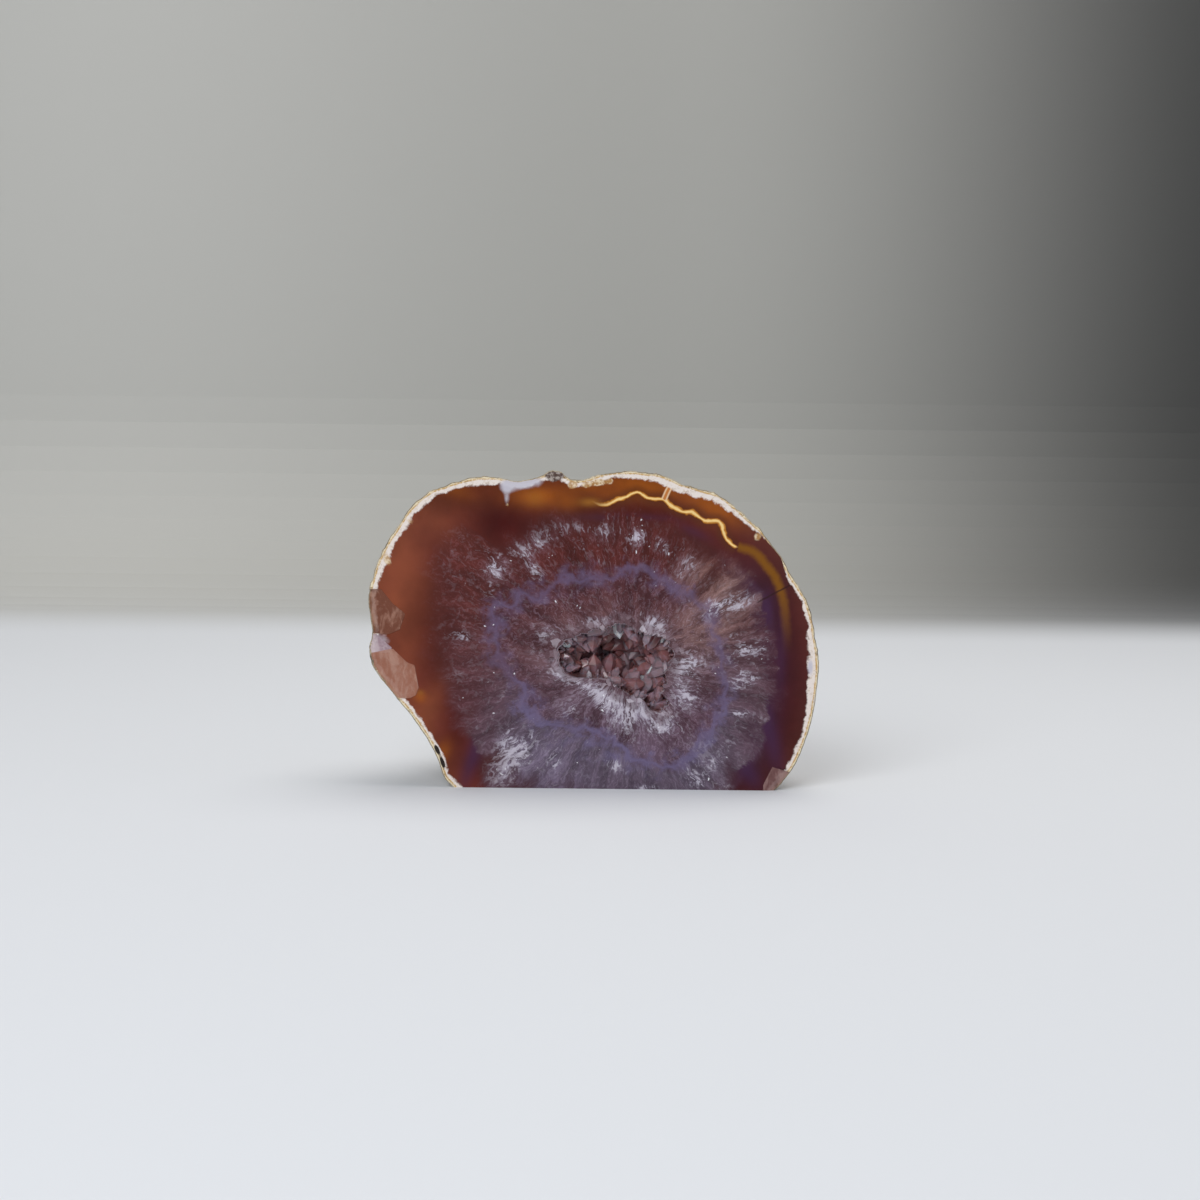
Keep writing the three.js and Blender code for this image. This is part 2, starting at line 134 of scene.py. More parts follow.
# Soft-edged marks on the face: x, z, half width, half height, turn in degrees and strength
MARKS = {
    "spray": (
        (-7.9, 36.5, 2.4, 1.5, 35, 0.75), (-14, 31.6, 1.7, 2.1, -20, 0.65), (-9.4, 33, 0.9, 2.6, 25, 0.5),
        (-5.2, 37.6, 1.6, 1.4, 0, 0.5), (-11.6, 34.8, 1.4, 1, 40, 0.4), (-3.2, 38.4, 1.8, 0.9, 0, 0.4),
        (1.6, 37.4, 2, 1.3, 0, 0.65), (6.3, 36.8, 1.2, 1.5, 0, 0.7), (9.8, 35.6, 1, 1.2, -15, 0.4),
        (13.4, 32.5, 1.6, 2.6, -35, 0.5), (20.1, 27.4, 4.4, 1.5, 18, 0.75), (22.6, 20.4, 3.5, 2.2, 8, 0.45),
        (21.8, 16.1, 2.6, 1.1, 8, 0.6), (21.2, 11.2, 2, 0.5, 0, 0.7), (0.9, 24.3, 3, 0.8, 0, 0.6),
        (8.8, 23.3, 2.2, 1.7, -20, 0.9), (-6.2, 22.9, 2.1, 1.3, 0, 0.4), (-4.2, 17.2, 1.9, 1.5, -10, 0.85),
        (0.5, 14.4, 4.4, 1, -25, 0.85), (6.8, 12.1, 1.9, 1.9, -25, 1), (12.5, 16.7, 2.2, 3.4, -8, 0.5),
        (13.6, 13.6, 2.2, 1.6, -30, 0.62), (14.8, 18.6, 2.6, 1.2, 4, 0.6), (2.6, 12.4, 4, 1.5, -30, 0.7),
        (9.6, 10.6, 2.2, 2.2, 20, 0.7), (10.3, 9.5, 1.5, 1.1, 0, 0.8), (4.1, 9.9, 2.2, 3.1, 30, 0.5),
        (-12.1, 5, 2.2, 3.2, -25, 1), (-13.4, 1.6, 2, 1.6, 0, 0.9), (-8.6, 6.6, 1.2, 3, -12, 0.45),
        (3.5, 3.3, 1.1, 0.9, 0, 0.8), (14.9, 1.9, 1.6, 1.5, -40, 0.65), (19.1, 0.5, 1.7, 0.6, 0, 0.8),
        (8, 0.3, 1.8, 0.4, 0, 0.7), (-5.4, 4, 1.1, 1.4, 0, 0.5), (-19.5, 22.1, 2.2, 0.9, 0, 0.35),
        (15.3, 6, 2.6, 1.8, -40, 0.35), (-1.8, 19.2, 2.6, 2.6, 0, 0.35), (18, 4.2, 1.3, 2.6, -40, 0.4),
        (-3.5, 11.6, 2.6, 2.2, -20, 0.4),
    ),
    "haze": (
        (20.6, 29.4, 4.8, 3.8, 20, 0.95), (14.9, 31.8, 2.6, 3.1, -30, 0.4), (3.6, 17.5, 13.2, 8.4, 0, 0.5),
        (-6.4, 4.4, 6, 3.2, -14, 0.75), (8.4, 5.4, 6.5, 2.6, 0, 0.4), (15.2, 19.8, 3.4, 6.2, 0, 0.55),
        (-6.9, 1.3, 5.3, 1.5, 0, 0.9), (17.7, 23.9, 3.5, 2.6, 0, 0.4),
    ),
    "carnelian": (
        (-28, 32.7, 4, 7.1, 15, 0.7), (-28.8, 26, 1.8, 3.1, 0, 1), (-24.3, 10.9, 1.8, 4.8, -25, 1),
        (-22.3, 38.1, 5.3, 2.6, -30, 0.5), (-27, 19.8, 2.6, 4, 0, 0.5), (-26, 27, 3.4, 9, 8, 0.5),
    ),
    "maroon": (
        (-13.4, 38.4, 4.8, 3.1, 0, 1), (-19.9, 8.3, 1.8, 7.1, -20, 0.6), (-23.5, 23.4, 3.1, 8.8, 0, 0.45),
        (7.7, 40.2, 8.8, 1.1, -5, 0.6), (27.1, 15.1, 2.6, 11.5, 0, 0.55), (20.2, 35.9, 2.6, 1.3, -35, 0.5),
    ),
    # painted glow: these marks stand for light shining through the thin agate under the rind, over the
    # agate's own amber colour
    "amber_glow": (
        (-8.2, 42.4, 4, 1.5, 0, 1), (-1.1, 43.8, 3.5, 1.1, 0, 0.6), (7.2, 44.1, 6.2, 1.6, -6, 0.95),
        (17.2, 41.2, 4.6, 1.7, -28, 0.95), (3.3, 42.8, 2.6, 0.8, 0, 0.5),
        (-20.5, 43.4, 3.1, 1.1, -20, 0.45), (-3.7, 41.8, 1.8, 1.3, 0, 0.7), (-25, 13.1, 0.9, 0.8, 0, 0.8),
        (-21.6, 5.1, 1.1, 1.8, -20, 0.7),
    ),
    "violet": (
        (-16.9, 5.6, 1.1, 6.6, -18, 1), (25.7, 8.8, 1.3, 6.6, 14, 1), (22.6, 2.9, 1.3, 3.1, 35, 1),
        (27.3, 20.4, 0.8, 7.5, 0, 0.6), (25.2, 26.6, 0.9, 2.6, 0, 0.8), (14.4, 37.6, 2.6, 0.7, -25, 0.5),
        (5.1, 39.5, 7.1, 0.6, 0, 0.5),
    ),
    # painted glow: warm light shining through thin agate
    "glow": ((-0.7, 41.7, 1.5, 0.6, 0, 1), (-8.6, 42.2, 1.3, 1, 0, 0.5), (-25, 13.8, 0.5, 0.4, 0, 0.6)),
    "milk": (
        (-9.9, 44.5, 2.6, 1, 8, 1), (-12.6, 43.9, 1.1, 1, 0, 1), (-12.7, 42, 0.5, 1, 0, 0.7),
        (31.5, 18.2, 0.5, 1.5, 0, 0.9), (32.3, 13.3, 0.4, 1.3, 0, 0.7), (-30.6, 21.6, 1.6, 1, -25, 0.6),
    ),
    "cream": (
        (-3.2, 44.2, 0.9, 0.7, 0, 1), (-1.3, 44.2, 0.9, 0.6, 0, 0.9), (0.6, 44.6, 1.1, 0.7, 0, 1),
        (2.2, 44.8, 0.7, 0.6, 0, 0.8), (23.6, 37, 0.9, 0.8, 40, 0.9), (-12.6, 41.2, 0.4, 0.5, 0, 0.8),
        (-29.9, 33.2, 1, 1.6, 20, 0.7), (-26.6, 38.6, 1.3, 0.9, -40, 0.6),
    ),
    "slit": (
        (-22.5, 5.5, 0.32, 0.9, 25, 1), (-21.7, 3.6, 0.32, 1.1, 18, 1), (-28.2, 13.6, 0.25, 0.7, 38, 0.8),
    ),
    "lump": ((-5.8, 45.6, 1.7, 1.1, 0, 1),),
}
# Where the rind is wider, or narrower for a negative strength
RIND_MARKS = (
    (-29, 36, 4, 8, -30, 0.35), (-18, 45, 8, 1.5, 0, 0.4), (26.5, 34.6, 3.4, 3.4, 0, -0.8),
    (32, 17, 1.6, 6, 0, 0.9), (13, 43.6, 7, 1.6, -20, 0.5),
)

# What the shader group of grown quartz gives
QUARTZ_PATTERNS = ("Shade", "Needles", "Threads", "Scribbles", "Glints", "Filaments", "Strokes")

# Distance from the hollow's axis where each growth's crystals have their own width, in millimetres
GROWTH_REACH = {"growth_outer": 20.0, "growth_inner": 10.0}

# Material slots of the stone
SURFACES = {"face": 0, "skin": 1, "hollow": 2, "foot": 3}

# The nodule's form, as the solid has it, in millimetres
STONE_DEPTH = 30.0
SIDE_SQUARENESS = 0.78
BACK_SQUARENESS = 0.92
POLE_DRIFT = np.array((2.5, 0.0, -1.5))
RIM_KEEP = 4.5
RIM_FADE = 10.0
EASED_SHARE = 0.07  # share of the outline that the eased outline averages on each side
CORE_SHARE = 0.25  # the point that the relief is cut towards, as a share of the depth
KNOB_COUNT = 96
KNOB_RADIUS = 4.6
KNOB_RELIEF = 1.4
KNOB_JITTER = 0.9  # radians round the nodule
BROAD_RELIEF = 1.2
BROAD_WAVE = np.array((0.17, 0.21, 0.19))
BROAD_PHASE = np.array((0.6, 1.9, 1.1))
HOLLOW_AXIS = np.array((5.2, 18.2))
HOLLOW_DEPTH = 11.0
HOLLOW_ROUNDNESS = 0.6
MOUTH_WAVE = 7  # a larger number turns the mouth's edge in and out more often
MOUTH_RAGS = ((1, 0.55), (2.7, 0.3))  # fineness and size of what breaks the edge up
RIM_GRAIN = ((0.9, 4, 0.1), (2.2, 8, 0.07))  # fineness, place in the noise and size
RIM_GRAIN_SHIFT = 0.08
RIM_GRAIN_RADIUS = 30  # where the grain has the size above
GOLDEN_TURN = math.pi * (3 - math.sqrt(5))

# The fine mesh of the stone: angles in radians, depths in millimetres
COLUMNS = 620
WALL_ROWS = 10
WALL_ANGLES = (1.45, 0.05)  # the hollow's wall, from its floor to its mouth
MOUTH_BEVEL = 0.08  # depth of the bevel at the mouth
MOUTH_LIP = 0.004  # the bevel's width, as a share of the way to the rim
FACE_ROWS = 62
FACE_CROWDING = 1.15  # above 1 the rings of the face lie closer near the rim
SKIN_ROWS = 66
SKIN_SPACING = (0.8, 0.2)  # even and widening shares of the angle between the skin's rings
FINE_FADE = (-0.3, 1.2)  # depths between which the fine relief fades in
FINE_LUMPS = {"fineness": 0.55, "rise": 1.3, "depth": 0.45}
FINE_PITS = {"fineness": 0.7, "place": Vector((9, 3, 5)), "start": 0.2, "depth": 1.6}
FINE_GRAIN = {"fineness": 0.9, "falloff": 0.75, "step": 2.2, "layers": 5, "depth": 0.3}
SCAR_RIPPLE = 0.35  # ripple of a scar's slope, as a share of its depth
SCAR_WAVE = 0.5  # fineness of that ripple
TOUCHING = 1e-6  # points this close to a depth lie on it
SHARP_EDGE = 38  # degrees
SAW_REACH = 1e-7  # metres within which a point lies on the saw cut
OUTLINE_SAMPLES = 4000
RIM_SAMPLES = 1400
LINE_SAMPLES = 90
CURVE_STEPS = 24  # points along each piece of a smooth curve
BLOCK = 4000  # points measured at once

# The fine mesh of the lining that the quartz points grow on
DRUSE_COLUMNS = 220
DRUSE_ROWS = 40
LINING_ANGLES = (1.5, 0.006)  # from the floor to the mouth
LINING_SHARE = 0.985  # inner width over outer width at the mouth
LINING_NARROWING = 0.08  # how much smaller that share is at the floor
POINTS_START = 0.35  # depth behind the face below which the points grow
POINTS_SETBACK = 0.1  # the points end this far behind the face
POINT_SMALLNESS = 2.4  # above 1 small points are more common than large ones
CROWDED_SIZE = 0.5  # share of their size that the points near the mouth have
CROWDED_DEPTHS = (0.3, 4)  # depths over which they reach their full size
SIDES_OF_QUARTZ = 6
# A quartz point's shaft and pyramid: bottom radius, top radius, height and place above its root
QUARTZ_CONES = ((1.0, 0.88, 2.2, -0.8), (0.88, 0.0, 1.1, 1.4))

# Camera and stage, in metres and degrees
CAMERA_HEIGHT = 0.0643
CAMERA_SIDE = 0.0008
CAMERA_PITCH = 5.0
CAMERA_ROLL = 0.62
SENSOR = 36  # millimetres
SWEEP_HALF_WIDTH = 1.2
SWEEP_FRONT = -0.9
SWEEP_TURN = 0.26  # where the floor starts to curve up
SWEEP_RADIUS = 0.05
SWEEP_HEIGHT = 1.0
SWEEP_STEPS = 12
LIGHT_TARGET = (0, 0, 0.02)
LIGHT_SIZE = 0.5
KEY_LIGHT = {"place": (0.13, 0.1, 0.52), "colour": (1.0, 0.97, 0.93)}
FILL_LIGHT = {"place": (-0.25, -0.7, 0.45), "colour": (0.94, 0.97, 1.0)}
SKY_STRENGTH = 0.36


def shade(red, green, blue):
    """A display colour, 0 to 255 a channel, as the linear colour that a socket takes."""
    channels = []
    for value in (red, green, blue):
        value /= 255
        channels.append(value / 12.92 if value <= 0.04045 else ((value + 0.055) / 1.055) ** 2.4)
    return (*channels, 1.0)


# Outlines and fields on the face

def smooth_curve(corners, closed=True, samples=OUTLINE_SAMPLES):
    """Points evenly spaced along a centripetal Catmull-Rom curve through the corners."""
    knots = np.array(corners, dtype=float)
    if closed:
        knots = np.vstack((knots[-1:], knots, knots[:2]))
    else:
        knots = np.vstack((2 * knots[0] - knots[1], knots, 2 * knots[-1] - knots[-2]))
    before, start, end, after = knots[:-3], knots[1:-2], knots[2:-1], knots[3:]
    gap = np.sqrt(np.linalg.norm(np.diff(knots, axis=0), axis=1))[:, None]
    first, middle, last = gap[:-2], gap[1:-1], gap[2:]
    leave = ((start - before) / first - (end - before) / (first + middle) + (end - start) / middle) * middle
    arrive = ((end - start) / middle - (after - start) / (middle + last) + (after - end) / last) * middle
    share = np.linspace(0, 1, CURVE_STEPS, endpoint=False)[:, None, None]
    curve = (
        start + leave * share + (3 * (end - start) - 2 * leave - arrive) * share**2
        + (2 * (start - end) + leave + arrive) * share**3
    )
    points = np.vstack((curve.transpose(1, 0, 2).reshape(-1, 2), knots[-2:-1]))
    length = np.concatenate(([0], np.cumsum(np.linalg.norm(np.diff(points, axis=0), axis=1))))
    places = np.linspace(0, length[-1], samples, endpoint=not closed)
    return np.column_stack([np.interp(places, length, points[:, axis]) for axis in (0, 1)])


def polar_radius(corners, angles):
    """How far a closed outline lies from the hollow's axis in each direction."""
    offset = smooth_curve(corners) - HOLLOW_AXIS
    around = np.arctan2(offset[:, 1], offset[:, 0])
    order = np.argsort(around)
    return np.interp(angles, around[order], np.hypot(*offset[order].T), period=2 * math.pi)


def from_segment(points, start, end):
    """For each point the share of the way along a segment where it is nearest, and its distance."""
    run = end - start
    offset = points - start
    share = np.clip(offset @ run / (run @ run), 0, 1)
    return share, np.linalg.norm(offset - share[:, None] * run, axis=1)


def line_distance(points, corners):
    """Distance of each point from an open line, signed by its side, and the share of the way along it."""
    line = smooth_curve(corners, closed=False, samples=LINE_SAMPLES)
    nearest = np.full(len(points), np.inf)
    side = np.ones(len(points))
    along = np.zeros(len(points))
    for step, (start, end) in enumerate(zip(line[:-1], line[1:])):
        share, distance = from_segment(points, start, end)
        closer = distance < nearest
        nearest = np.where(closer, distance, nearest)
        run, offset = end - start, points - start
        side = np.where(closer, np.sign(run[0] * offset[:, 1] - run[1] * offset[:, 0]), side)
        along = np.where(closer, (step + share) / (len(line) - 1), along)
    return nearest * side, along


def soft_marks(points, marks):
    """Strength of a set of soft-edged marks at each point."""
    clear = np.ones(len(points))
    for x, z, half_width, half_height, turn, strength in marks:
        cosine, sine = math.cos(math.radians(turn)), math.sin(math.radians(turn))
        across, up = points[:, 0] - x, points[:, 1] - z
        reach = ((cosine * across + sine * up) / half_width) ** 2
        reach += ((cosine * up - sine * across) / half_height) ** 2
        clear *= 1 - strength * np.exp(-reach)
    return 1 - clear


def scar_depth(points, corners):
    """Depth of a flake scar behind the face at each point, and minus one outside the scar."""
    rim = np.array(corners, dtype=float)
    middle = rim.mean(axis=0)
    depth = np.full(len(points), -1.0)
    for start, end in zip(rim, np.roll(rim, -1, axis=0)):
        edges = np.column_stack((start[:2] - middle[:2], end[:2] - middle[:2]))
        shares = np.linalg.solve(edges, (points - middle[:2]).T)
        inside = (shares >= 0).all(axis=0) & (shares.sum(axis=0) <= 1)
        height = middle[2] + shares[0] * (start[2] - middle[2]) + shares[1] * (end[2] - middle[2])
        depth = np.where(inside, np.maximum(height, 0), depth)
    return depth


def scar_reach(points, corners):
    """How far inside a flake scar's outline each point lies: negative outside."""
    outline = np.array(corners, dtype=float)[:, :2]
    nearest = np.full(len(points), np.inf)
    inside = np.zeros(len(points), dtype=bool)
    for start, end in zip(outline, np.roll(outline, -1, axis=0)):
        nearest = np.minimum(nearest, from_segment(points, start, end)[1])
        spans = (start[1] > points[:, 1]) != (end[1] > points[:, 1])
        run = end - start
        rise = run[1] if run[1] else 1.0
        inside ^= spans & (points[:, 0] < start[0] + (points[:, 1] - start[1]) * run[0] / rise)
    return np.where(inside, nearest, -nearest)


def smoothstep(value, low, high):
    share = np.clip((value - low) / (high - low), 0, 1)
    return share * share * (3 - 2 * share)


# The stone's mesh

def flat_ring(outline, depth):
    """An outline, x and z, as a ring at one depth behind the face."""
    return np.column_stack((outline[:, 0], np.full(len(outline), depth), outline[:, 1]))


def dome_points(sharp, eased, middle, angle):
    """One ring of the smooth dome behind the face: angle zero is the rim, a right angle the rear pole."""
    depth = STONE_DEPTH * math.sin(angle) ** BACK_SQUARENESS
    start = sharp + (eased - sharp) * smoothstep(depth, 0, RIM_FADE)
    flat = middle + (start - middle) * max(math.cos(angle), 0) ** SIDE_SQUARENESS
    return flat_ring(flat, depth) + POLE_DRIFT * math.sin(angle) ** 2


def scatter(index, salt):
    """A number from 0 to 1 that looks random and is the same every time."""
    value = math.sin(index * 12.9898 + salt * 78.233) * 43758.5453
    return value - math.floor(value)


def knob_middles(outline, middle):
    """Middles of the skin's knobs, spread over the dome by the golden angle."""
    knobs = []
    for index in range(KNOB_COUNT):
        angle = math.asin((index + 0.5) / KNOB_COUNT)
        share = (index * GOLDEN_TURN + scatter(index, 1) * KNOB_JITTER) / (2 * math.pi) % 1
        start = outline[int(share * len(outline))][None]
        knobs.append(dome_points(start, start, middle, angle)[0])
    return np.array(knobs)


def skin_relief(points, knobs):
    """How far the skin lies inside the smooth dome: creases between knobs, and broad hollows."""
    nearest = np.min(np.linalg.norm(points[:, None] - knobs[None], axis=2), axis=1)
    crease = np.minimum(1, (nearest / KNOB_RADIUS) ** 2)
    wave = np.prod(np.sin(points * BROAD_WAVE + BROAD_PHASE), axis=1)
    return KNOB_RELIEF * crease + BROAD_RELIEF * (0.5 - 0.5 * wave), crease


def fine_relief(points):
    """Small lumps and pits of the weathered skin, in millimetres inwards."""
    lumps, pits, grain = FINE_LUMPS, FINE_PITS, FINE_GRAIN
    relief = np.empty(len(points))
    for index, point in enumerate(points):
        place = Vector(point)
        distances, _ = noise.voronoi(place * lumps["fineness"])
        lump = min(1.0, distances[0] * lumps["rise"])
        pit = max(0.0, noise.noise(place * pits["fineness"] + pits["place"]) - pits["start"])
        rough = noise.fractal(place * grain["fineness"], grain["falloff"], grain["step"], grain["layers"])
        relief[index] = lumps["depth"] * lump * lump + pits["depth"] * pit * pit + grain["depth"] * rough
    return np.maximum(relief, 0)


def hollow_wall(mouth, floor, angle):
    """One ring of the hollow's wall: from the mouth at angle zero down to the floor at a right angle."""
    flat = HOLLOW_AXIS + (mouth - HOLLOW_AXIS) * max(math.cos(angle), 0) ** HOLLOW_ROUNDNESS
    return flat_ring(flat, floor * math.sin(angle))


def ragged_mouth(angles, inset=0.0):
    """The hollow's mouth, broken up by the ends of the crystals that the polish cut."""
    radius = polar_radius(MOUTH, angles) - inset
    for index, angle in enumerate(angles):
        place = Vector((math.cos(angle) * MOUTH_WAVE, math.sin(angle) * MOUTH_WAVE, 2.0))
        radius[index] += sum(size * noise.noise(place * fineness) for fineness, size in MOUTH_RAGS)
    return HOLLOW_AXIS + radius[:, None] * np.column_stack((np.cos(angles), np.sin(angles)))


def stone_rows(rounding):
    """Rings of the stone from the hollow's floor over the face to the rear pole, and their creases."""
    outline = smooth_curve(RIM + SAWN_AWAY)
    rim = outline[np.linspace(0, len(outline), COLUMNS, endpoint=False).astype(int)]
    for index, (x, z) in enumerate(rim):
        grain = sum(size * noise.noise(Vector((x * fineness, z * fineness, place)))
                    for fineness, place, size in RIM_GRAIN)
        rim[index] *= 1 + (grain - RIM_GRAIN_SHIFT) / RIM_GRAIN_RADIUS
    span = int(len(outline) * EASED_SHARE)
    kernel = np.ones(2 * span + 1) / (2 * span + 1)
    wrapped = np.vstack((outline[-span:], outline, outline[:span]))
    eased = np.column_stack([np.convolve(wrapped[:, axis], kernel, mode="valid") for axis in (0, 1)])
    middle = (outline.min(axis=0) + outline.max(axis=0)) / 2
    knobs = knob_middles(eased, middle)
    eased = eased[np.linspace(0, len(outline), COLUMNS, endpoint=False).astype(int)]
    offset = rim - HOLLOW_AXIS
    mouth = ragged_mouth(np.arctan2(offset[:, 1], offset[:, 0]))

    rows = [hollow_wall(mouth, HOLLOW_DEPTH, angle) for angle in np.linspace(*WALL_ANGLES, WALL_ROWS)]
    kinds = ["hollow"] * WALL_ROWS
    inward = (HOLLOW_AXIS - rim) / np.linalg.norm(offset, axis=1)[:, None]
    lip = mouth + (rim - mouth) * MOUTH_LIP
    rows.append(flat_ring(mouth, MOUTH_BEVEL))
    kinds.append("hollow")
    shares = 1 - (1 - np.linspace(0, 1, FACE_ROWS)) ** FACE_CROWDING
    for share in shares:
        rows.append(flat_ring(lip + (rim + inward * rounding - lip) * share, 0.0))
        kinds.append("face")
    creases = [np.zeros(COLUMNS) for _ in rows]
    core = np.array((middle[0], STONE_DEPTH * CORE_SHARE, middle[1]))
    steps = np.linspace(0, 1, SKIN_ROWS, endpoint=False)
    for angle in (steps * SKIN_SPACING[0] + steps**2 * SKIN_SPACING[1]) * math.pi / 2:
        ring = dome_points(rim, eased, middle, angle)
        relief, crease = skin_relief(ring, knobs)
        fade = smoothstep(ring[:, 1], 0, RIM_KEEP)
        relief = fade * relief + smoothstep(ring[:, 1], *FINE_FADE) * fine_relief(ring) * (angle > 0)
        towards = core - ring
        towards /= np.linalg.norm(towards, axis=1)[:, None]
        ring = ring + towards * relief[:, None]
        ring[:, 1] = np.maximum(ring[:, 1], rounding)
        rows.append(ring)
        creases.append(crease * fade)
        kinds.append("skin")
    floor = np.array((HOLLOW_AXIS[0], HOLLOW_DEPTH, HOLLOW_AXIS[1]))
    pole = dome_points(middle[None], middle[None], middle, math.pi / 2)
    pole_relief, _ = skin_relief(pole, knobs)
    pole = pole[0] - np.array((0, pole_relief[0], 0))
    return rows, kinds, creases, floor, pole


def cut_scars(points):
    """Moves the points inside each flake scar back to its slope."""
    flat = points[:, (0, 2)]
    for corners in SCARS.values():
        depth = scar_depth(flat, corners)
        ripple = np.array([noise.noise(Vector((x * SCAR_WAVE, z * SCAR_WAVE, 1))) for x, z in flat])
        depth = np.where(depth >= 0, depth * (1 + SCAR_RIPPLE * ripple), depth)
        near = (depth >= 0) & (points[:, 1] <= depth + TOUCHING)
        points[:, 1] = np.where(near, np.maximum(points[:, 1], depth), points[:, 1])


def to_row_frame(points):
    """Millimetres from the foot's middle on the face, as metres in the part's own frame."""
    shift_x = STONE_BOX[1][0] - smooth_curve(RIM + SAWN_AWAY)[:, 0].max() * MM
    return points * MM + np.array((shift_x, STONE_BOX[0][1], 0))


def new_mesh_object(name, vertices, faces):
    mesh = bpy.data.meshes.new(name)
    mesh.from_pydata([tuple(point) for point in vertices], [], faces)
    item = bpy.data.objects.new(name, mesh)
    bpy.context.scene.collection.objects.link(item)
    return item


def close_sheet(sheet, item):
    """Puts an edited mesh back into its object with its faces pointing outwards."""
    bmesh.ops.recalc_face_normals(sheet, faces=sheet.faces[:])
    sheet.to_mesh(item.data)
    sheet.free()


def grid_faces(rows, columns):
    """Faces of rings closed by a pole at each end: the poles are the first and the last point."""
    faces = []
    for row in range(rows - 1):
        for column in range(columns):
            start, end = 1 + row * columns + column, 1 + row * columns + (column + 1) % columns
            faces.append((start, end, end + columns, start + columns))
    last = 1 + (rows - 1) * columns
    for column in range(columns):
        after = (column + 1) % columns
        faces.append((0, 1 + after, 1 + column))
        faces.append((last + columns, last + column, last + after))
    return faces


def add_field(mesh, name, values):
    """Stores one number for each point of a mesh."""
    field = mesh.attributes.new(name, "FLOAT", "POINT")
    field.data.foreach_set("value", np.asarray(values, dtype=np.float32))


def add_vector_field(mesh, name, values):
    """Stores three numbers for each point of a mesh."""
    field = mesh.attributes.new(name, "FLOAT_VECTOR", "POINT")
    field.data.foreach_set("vector", np.asarray(values, dtype=np.float32).ravel())


def rim_distance(flat):
    """How far inside the rim each point of the face lies."""
    outline = smooth_curve(RIM + SAWN_AWAY, samples=RIM_SAMPLES)
    distance = np.empty(len(flat))
    for start in range(0, len(flat), BLOCK):
        gaps = flat[start:start + BLOCK, None] - outline[None]
        distance[start:start + BLOCK] = np.sqrt((gaps**2).sum(axis=2)).min(axis=1)
    return distance


def face_fields(mesh, points, creases, rind_width):
    """Stores what the stone's materials follow: bands, directions of growth, lines and marks."""
    flat = points[:, (0, 2)]
    offset = flat - HOLLOW_AXIS
    angles = np.arctan2(offset[:, 1], offset[:, 0])
    radius = np.hypot(*offset.T)
    rim = polar_radius(RIM + SAWN_AWAY, angles)
    edge = polar_radius(CRYSTAL_EDGE, angles)
    ring = polar_radius(LAVENDER_RING, angles)
    mouth = polar_radius(MOUTH, angles)
    outer = (rim - radius) / (rim - edge)
    middle = 1 + (edge - radius) / (edge - ring)
    inner = 2 + (ring - radius) / (ring - mouth)
    band = np.where(radius > edge, outer, np.where(radius > ring, middle, inner))
    add_field(mesh, "band", np.clip(band, 0, 3))
    for name, reach in GROWTH_REACH.items():
        growth = np.column_stack((np.cos(angles) * reach, np.sin(angles) * reach, radius))
        add_vector_field(mesh, name, growth)
    add_field(mesh, "rim_distance", rim_distance(flat))
    width = np.ones(len(flat))
    for *place, strength in RIND_MARKS:
        width += math.copysign(1, strength) * soft_marks(flat, [(*place, abs(strength))])
    add_field(mesh, "rind_width", rind_width * width)
    lines = {"vein": VEIN, "branch": VEIN_BRANCH, "mustard": MUSTARD_BAND, "fracture": FRACTURE}
    for name, corners in lines.items():
        distance, along = line_distance(flat, corners)
        add_field(mesh, name, distance)
        add_field(mesh, name + "_along", along)
    for name, marks in MARKS.items():
        add_field(mesh, name, soft_marks(flat, marks))
    for name, corners in SCARS.items():
        add_field(mesh, "scar_" + name, scar_reach(flat, corners))
    add_field(mesh, "crease", creases)


def saw_foot(item):
    """Cuts the stone off flat at the foot and closes the cut with one flat face."""
    sheet = bmesh.new()
    sheet.from_mesh(item.data)
    everything = sheet.verts[:] + sheet.edges[:] + sheet.faces[:]
    bmesh.ops.bisect_plane(
        sheet, geom=everything, dist=SAW_REACH, plane_co=(0, 0, 0), plane_no=(0, 0, -1), clear_outer=True)
    rim = [edge for edge in sheet.edges if edge.is_boundary]
    foot = bmesh.ops.contextual_create(sheet, geom=rim)["faces"]
    if not foot:
        raise RuntimeError("the saw cut of the foot has no outline to close")
    for face in foot:
        face.material_index = SURFACES["foot"]
        face.smooth = False
        for edge in face.edges:
            edge.smooth = False
    close_sheet(sheet, item)


def make_stone(sizes):
    """One closed mesh of face, rind, skin, hollow and foot, with the fields its materials follow."""
    rows, kinds, creases, floor, pole = stone_rows(sizes.edge_rounding / MM)
    points = np.vstack((floor, *rows, pole))
    cut_scars(points)
    faces = grid_faces(len(rows), COLUMNS)
    item = new_mesh_object("polished_agate", to_row_frame(points), faces)
    surface = np.full(len(faces), SURFACES["skin"])
    for row, kind in enumerate(kinds[1:]):
        surface[row * COLUMNS:(row + 1) * COLUMNS] = SURFACES[kind]
    caps = (len(rows) - 1) * COLUMNS
    surface[caps::2] = SURFACES["hollow"]
    item.data.polygons.foreach_set("material_index", surface)
    item.data.polygons.foreach_set("use_smooth", np.ones(len(faces), dtype=bool))
    face_fields(item.data, points, np.concatenate(([0], *creases, [0])), sizes.rind_width / MM)
    saw_foot(item)
    item.data.set_sharp_from_angle(angle=math.radians(SHARP_EDGE))
    return item


# Node trees

class Value:
    """What a node puts out, ready for plain sums that add nodes of their own."""

    def __init__(self, graph, socket):
        self.graph = graph
        self.socket = socket

    def __add__(self, other):
        return self.graph.math("ADD", self, other)

    def __sub__(self, other):
        return self.graph.math("SUBTRACT", self, other)

    def __mul__(self, other):
        return self.graph.math("MULTIPLY", self, other)

    def __truediv__(self, other):
        return self.graph.math("DIVIDE", self, other)

    def __rtruediv__(self, other):
        return self.graph.math("DIVIDE", other, self)

    def __abs__(self):
        return self.graph.math("ABSOLUTE", self)


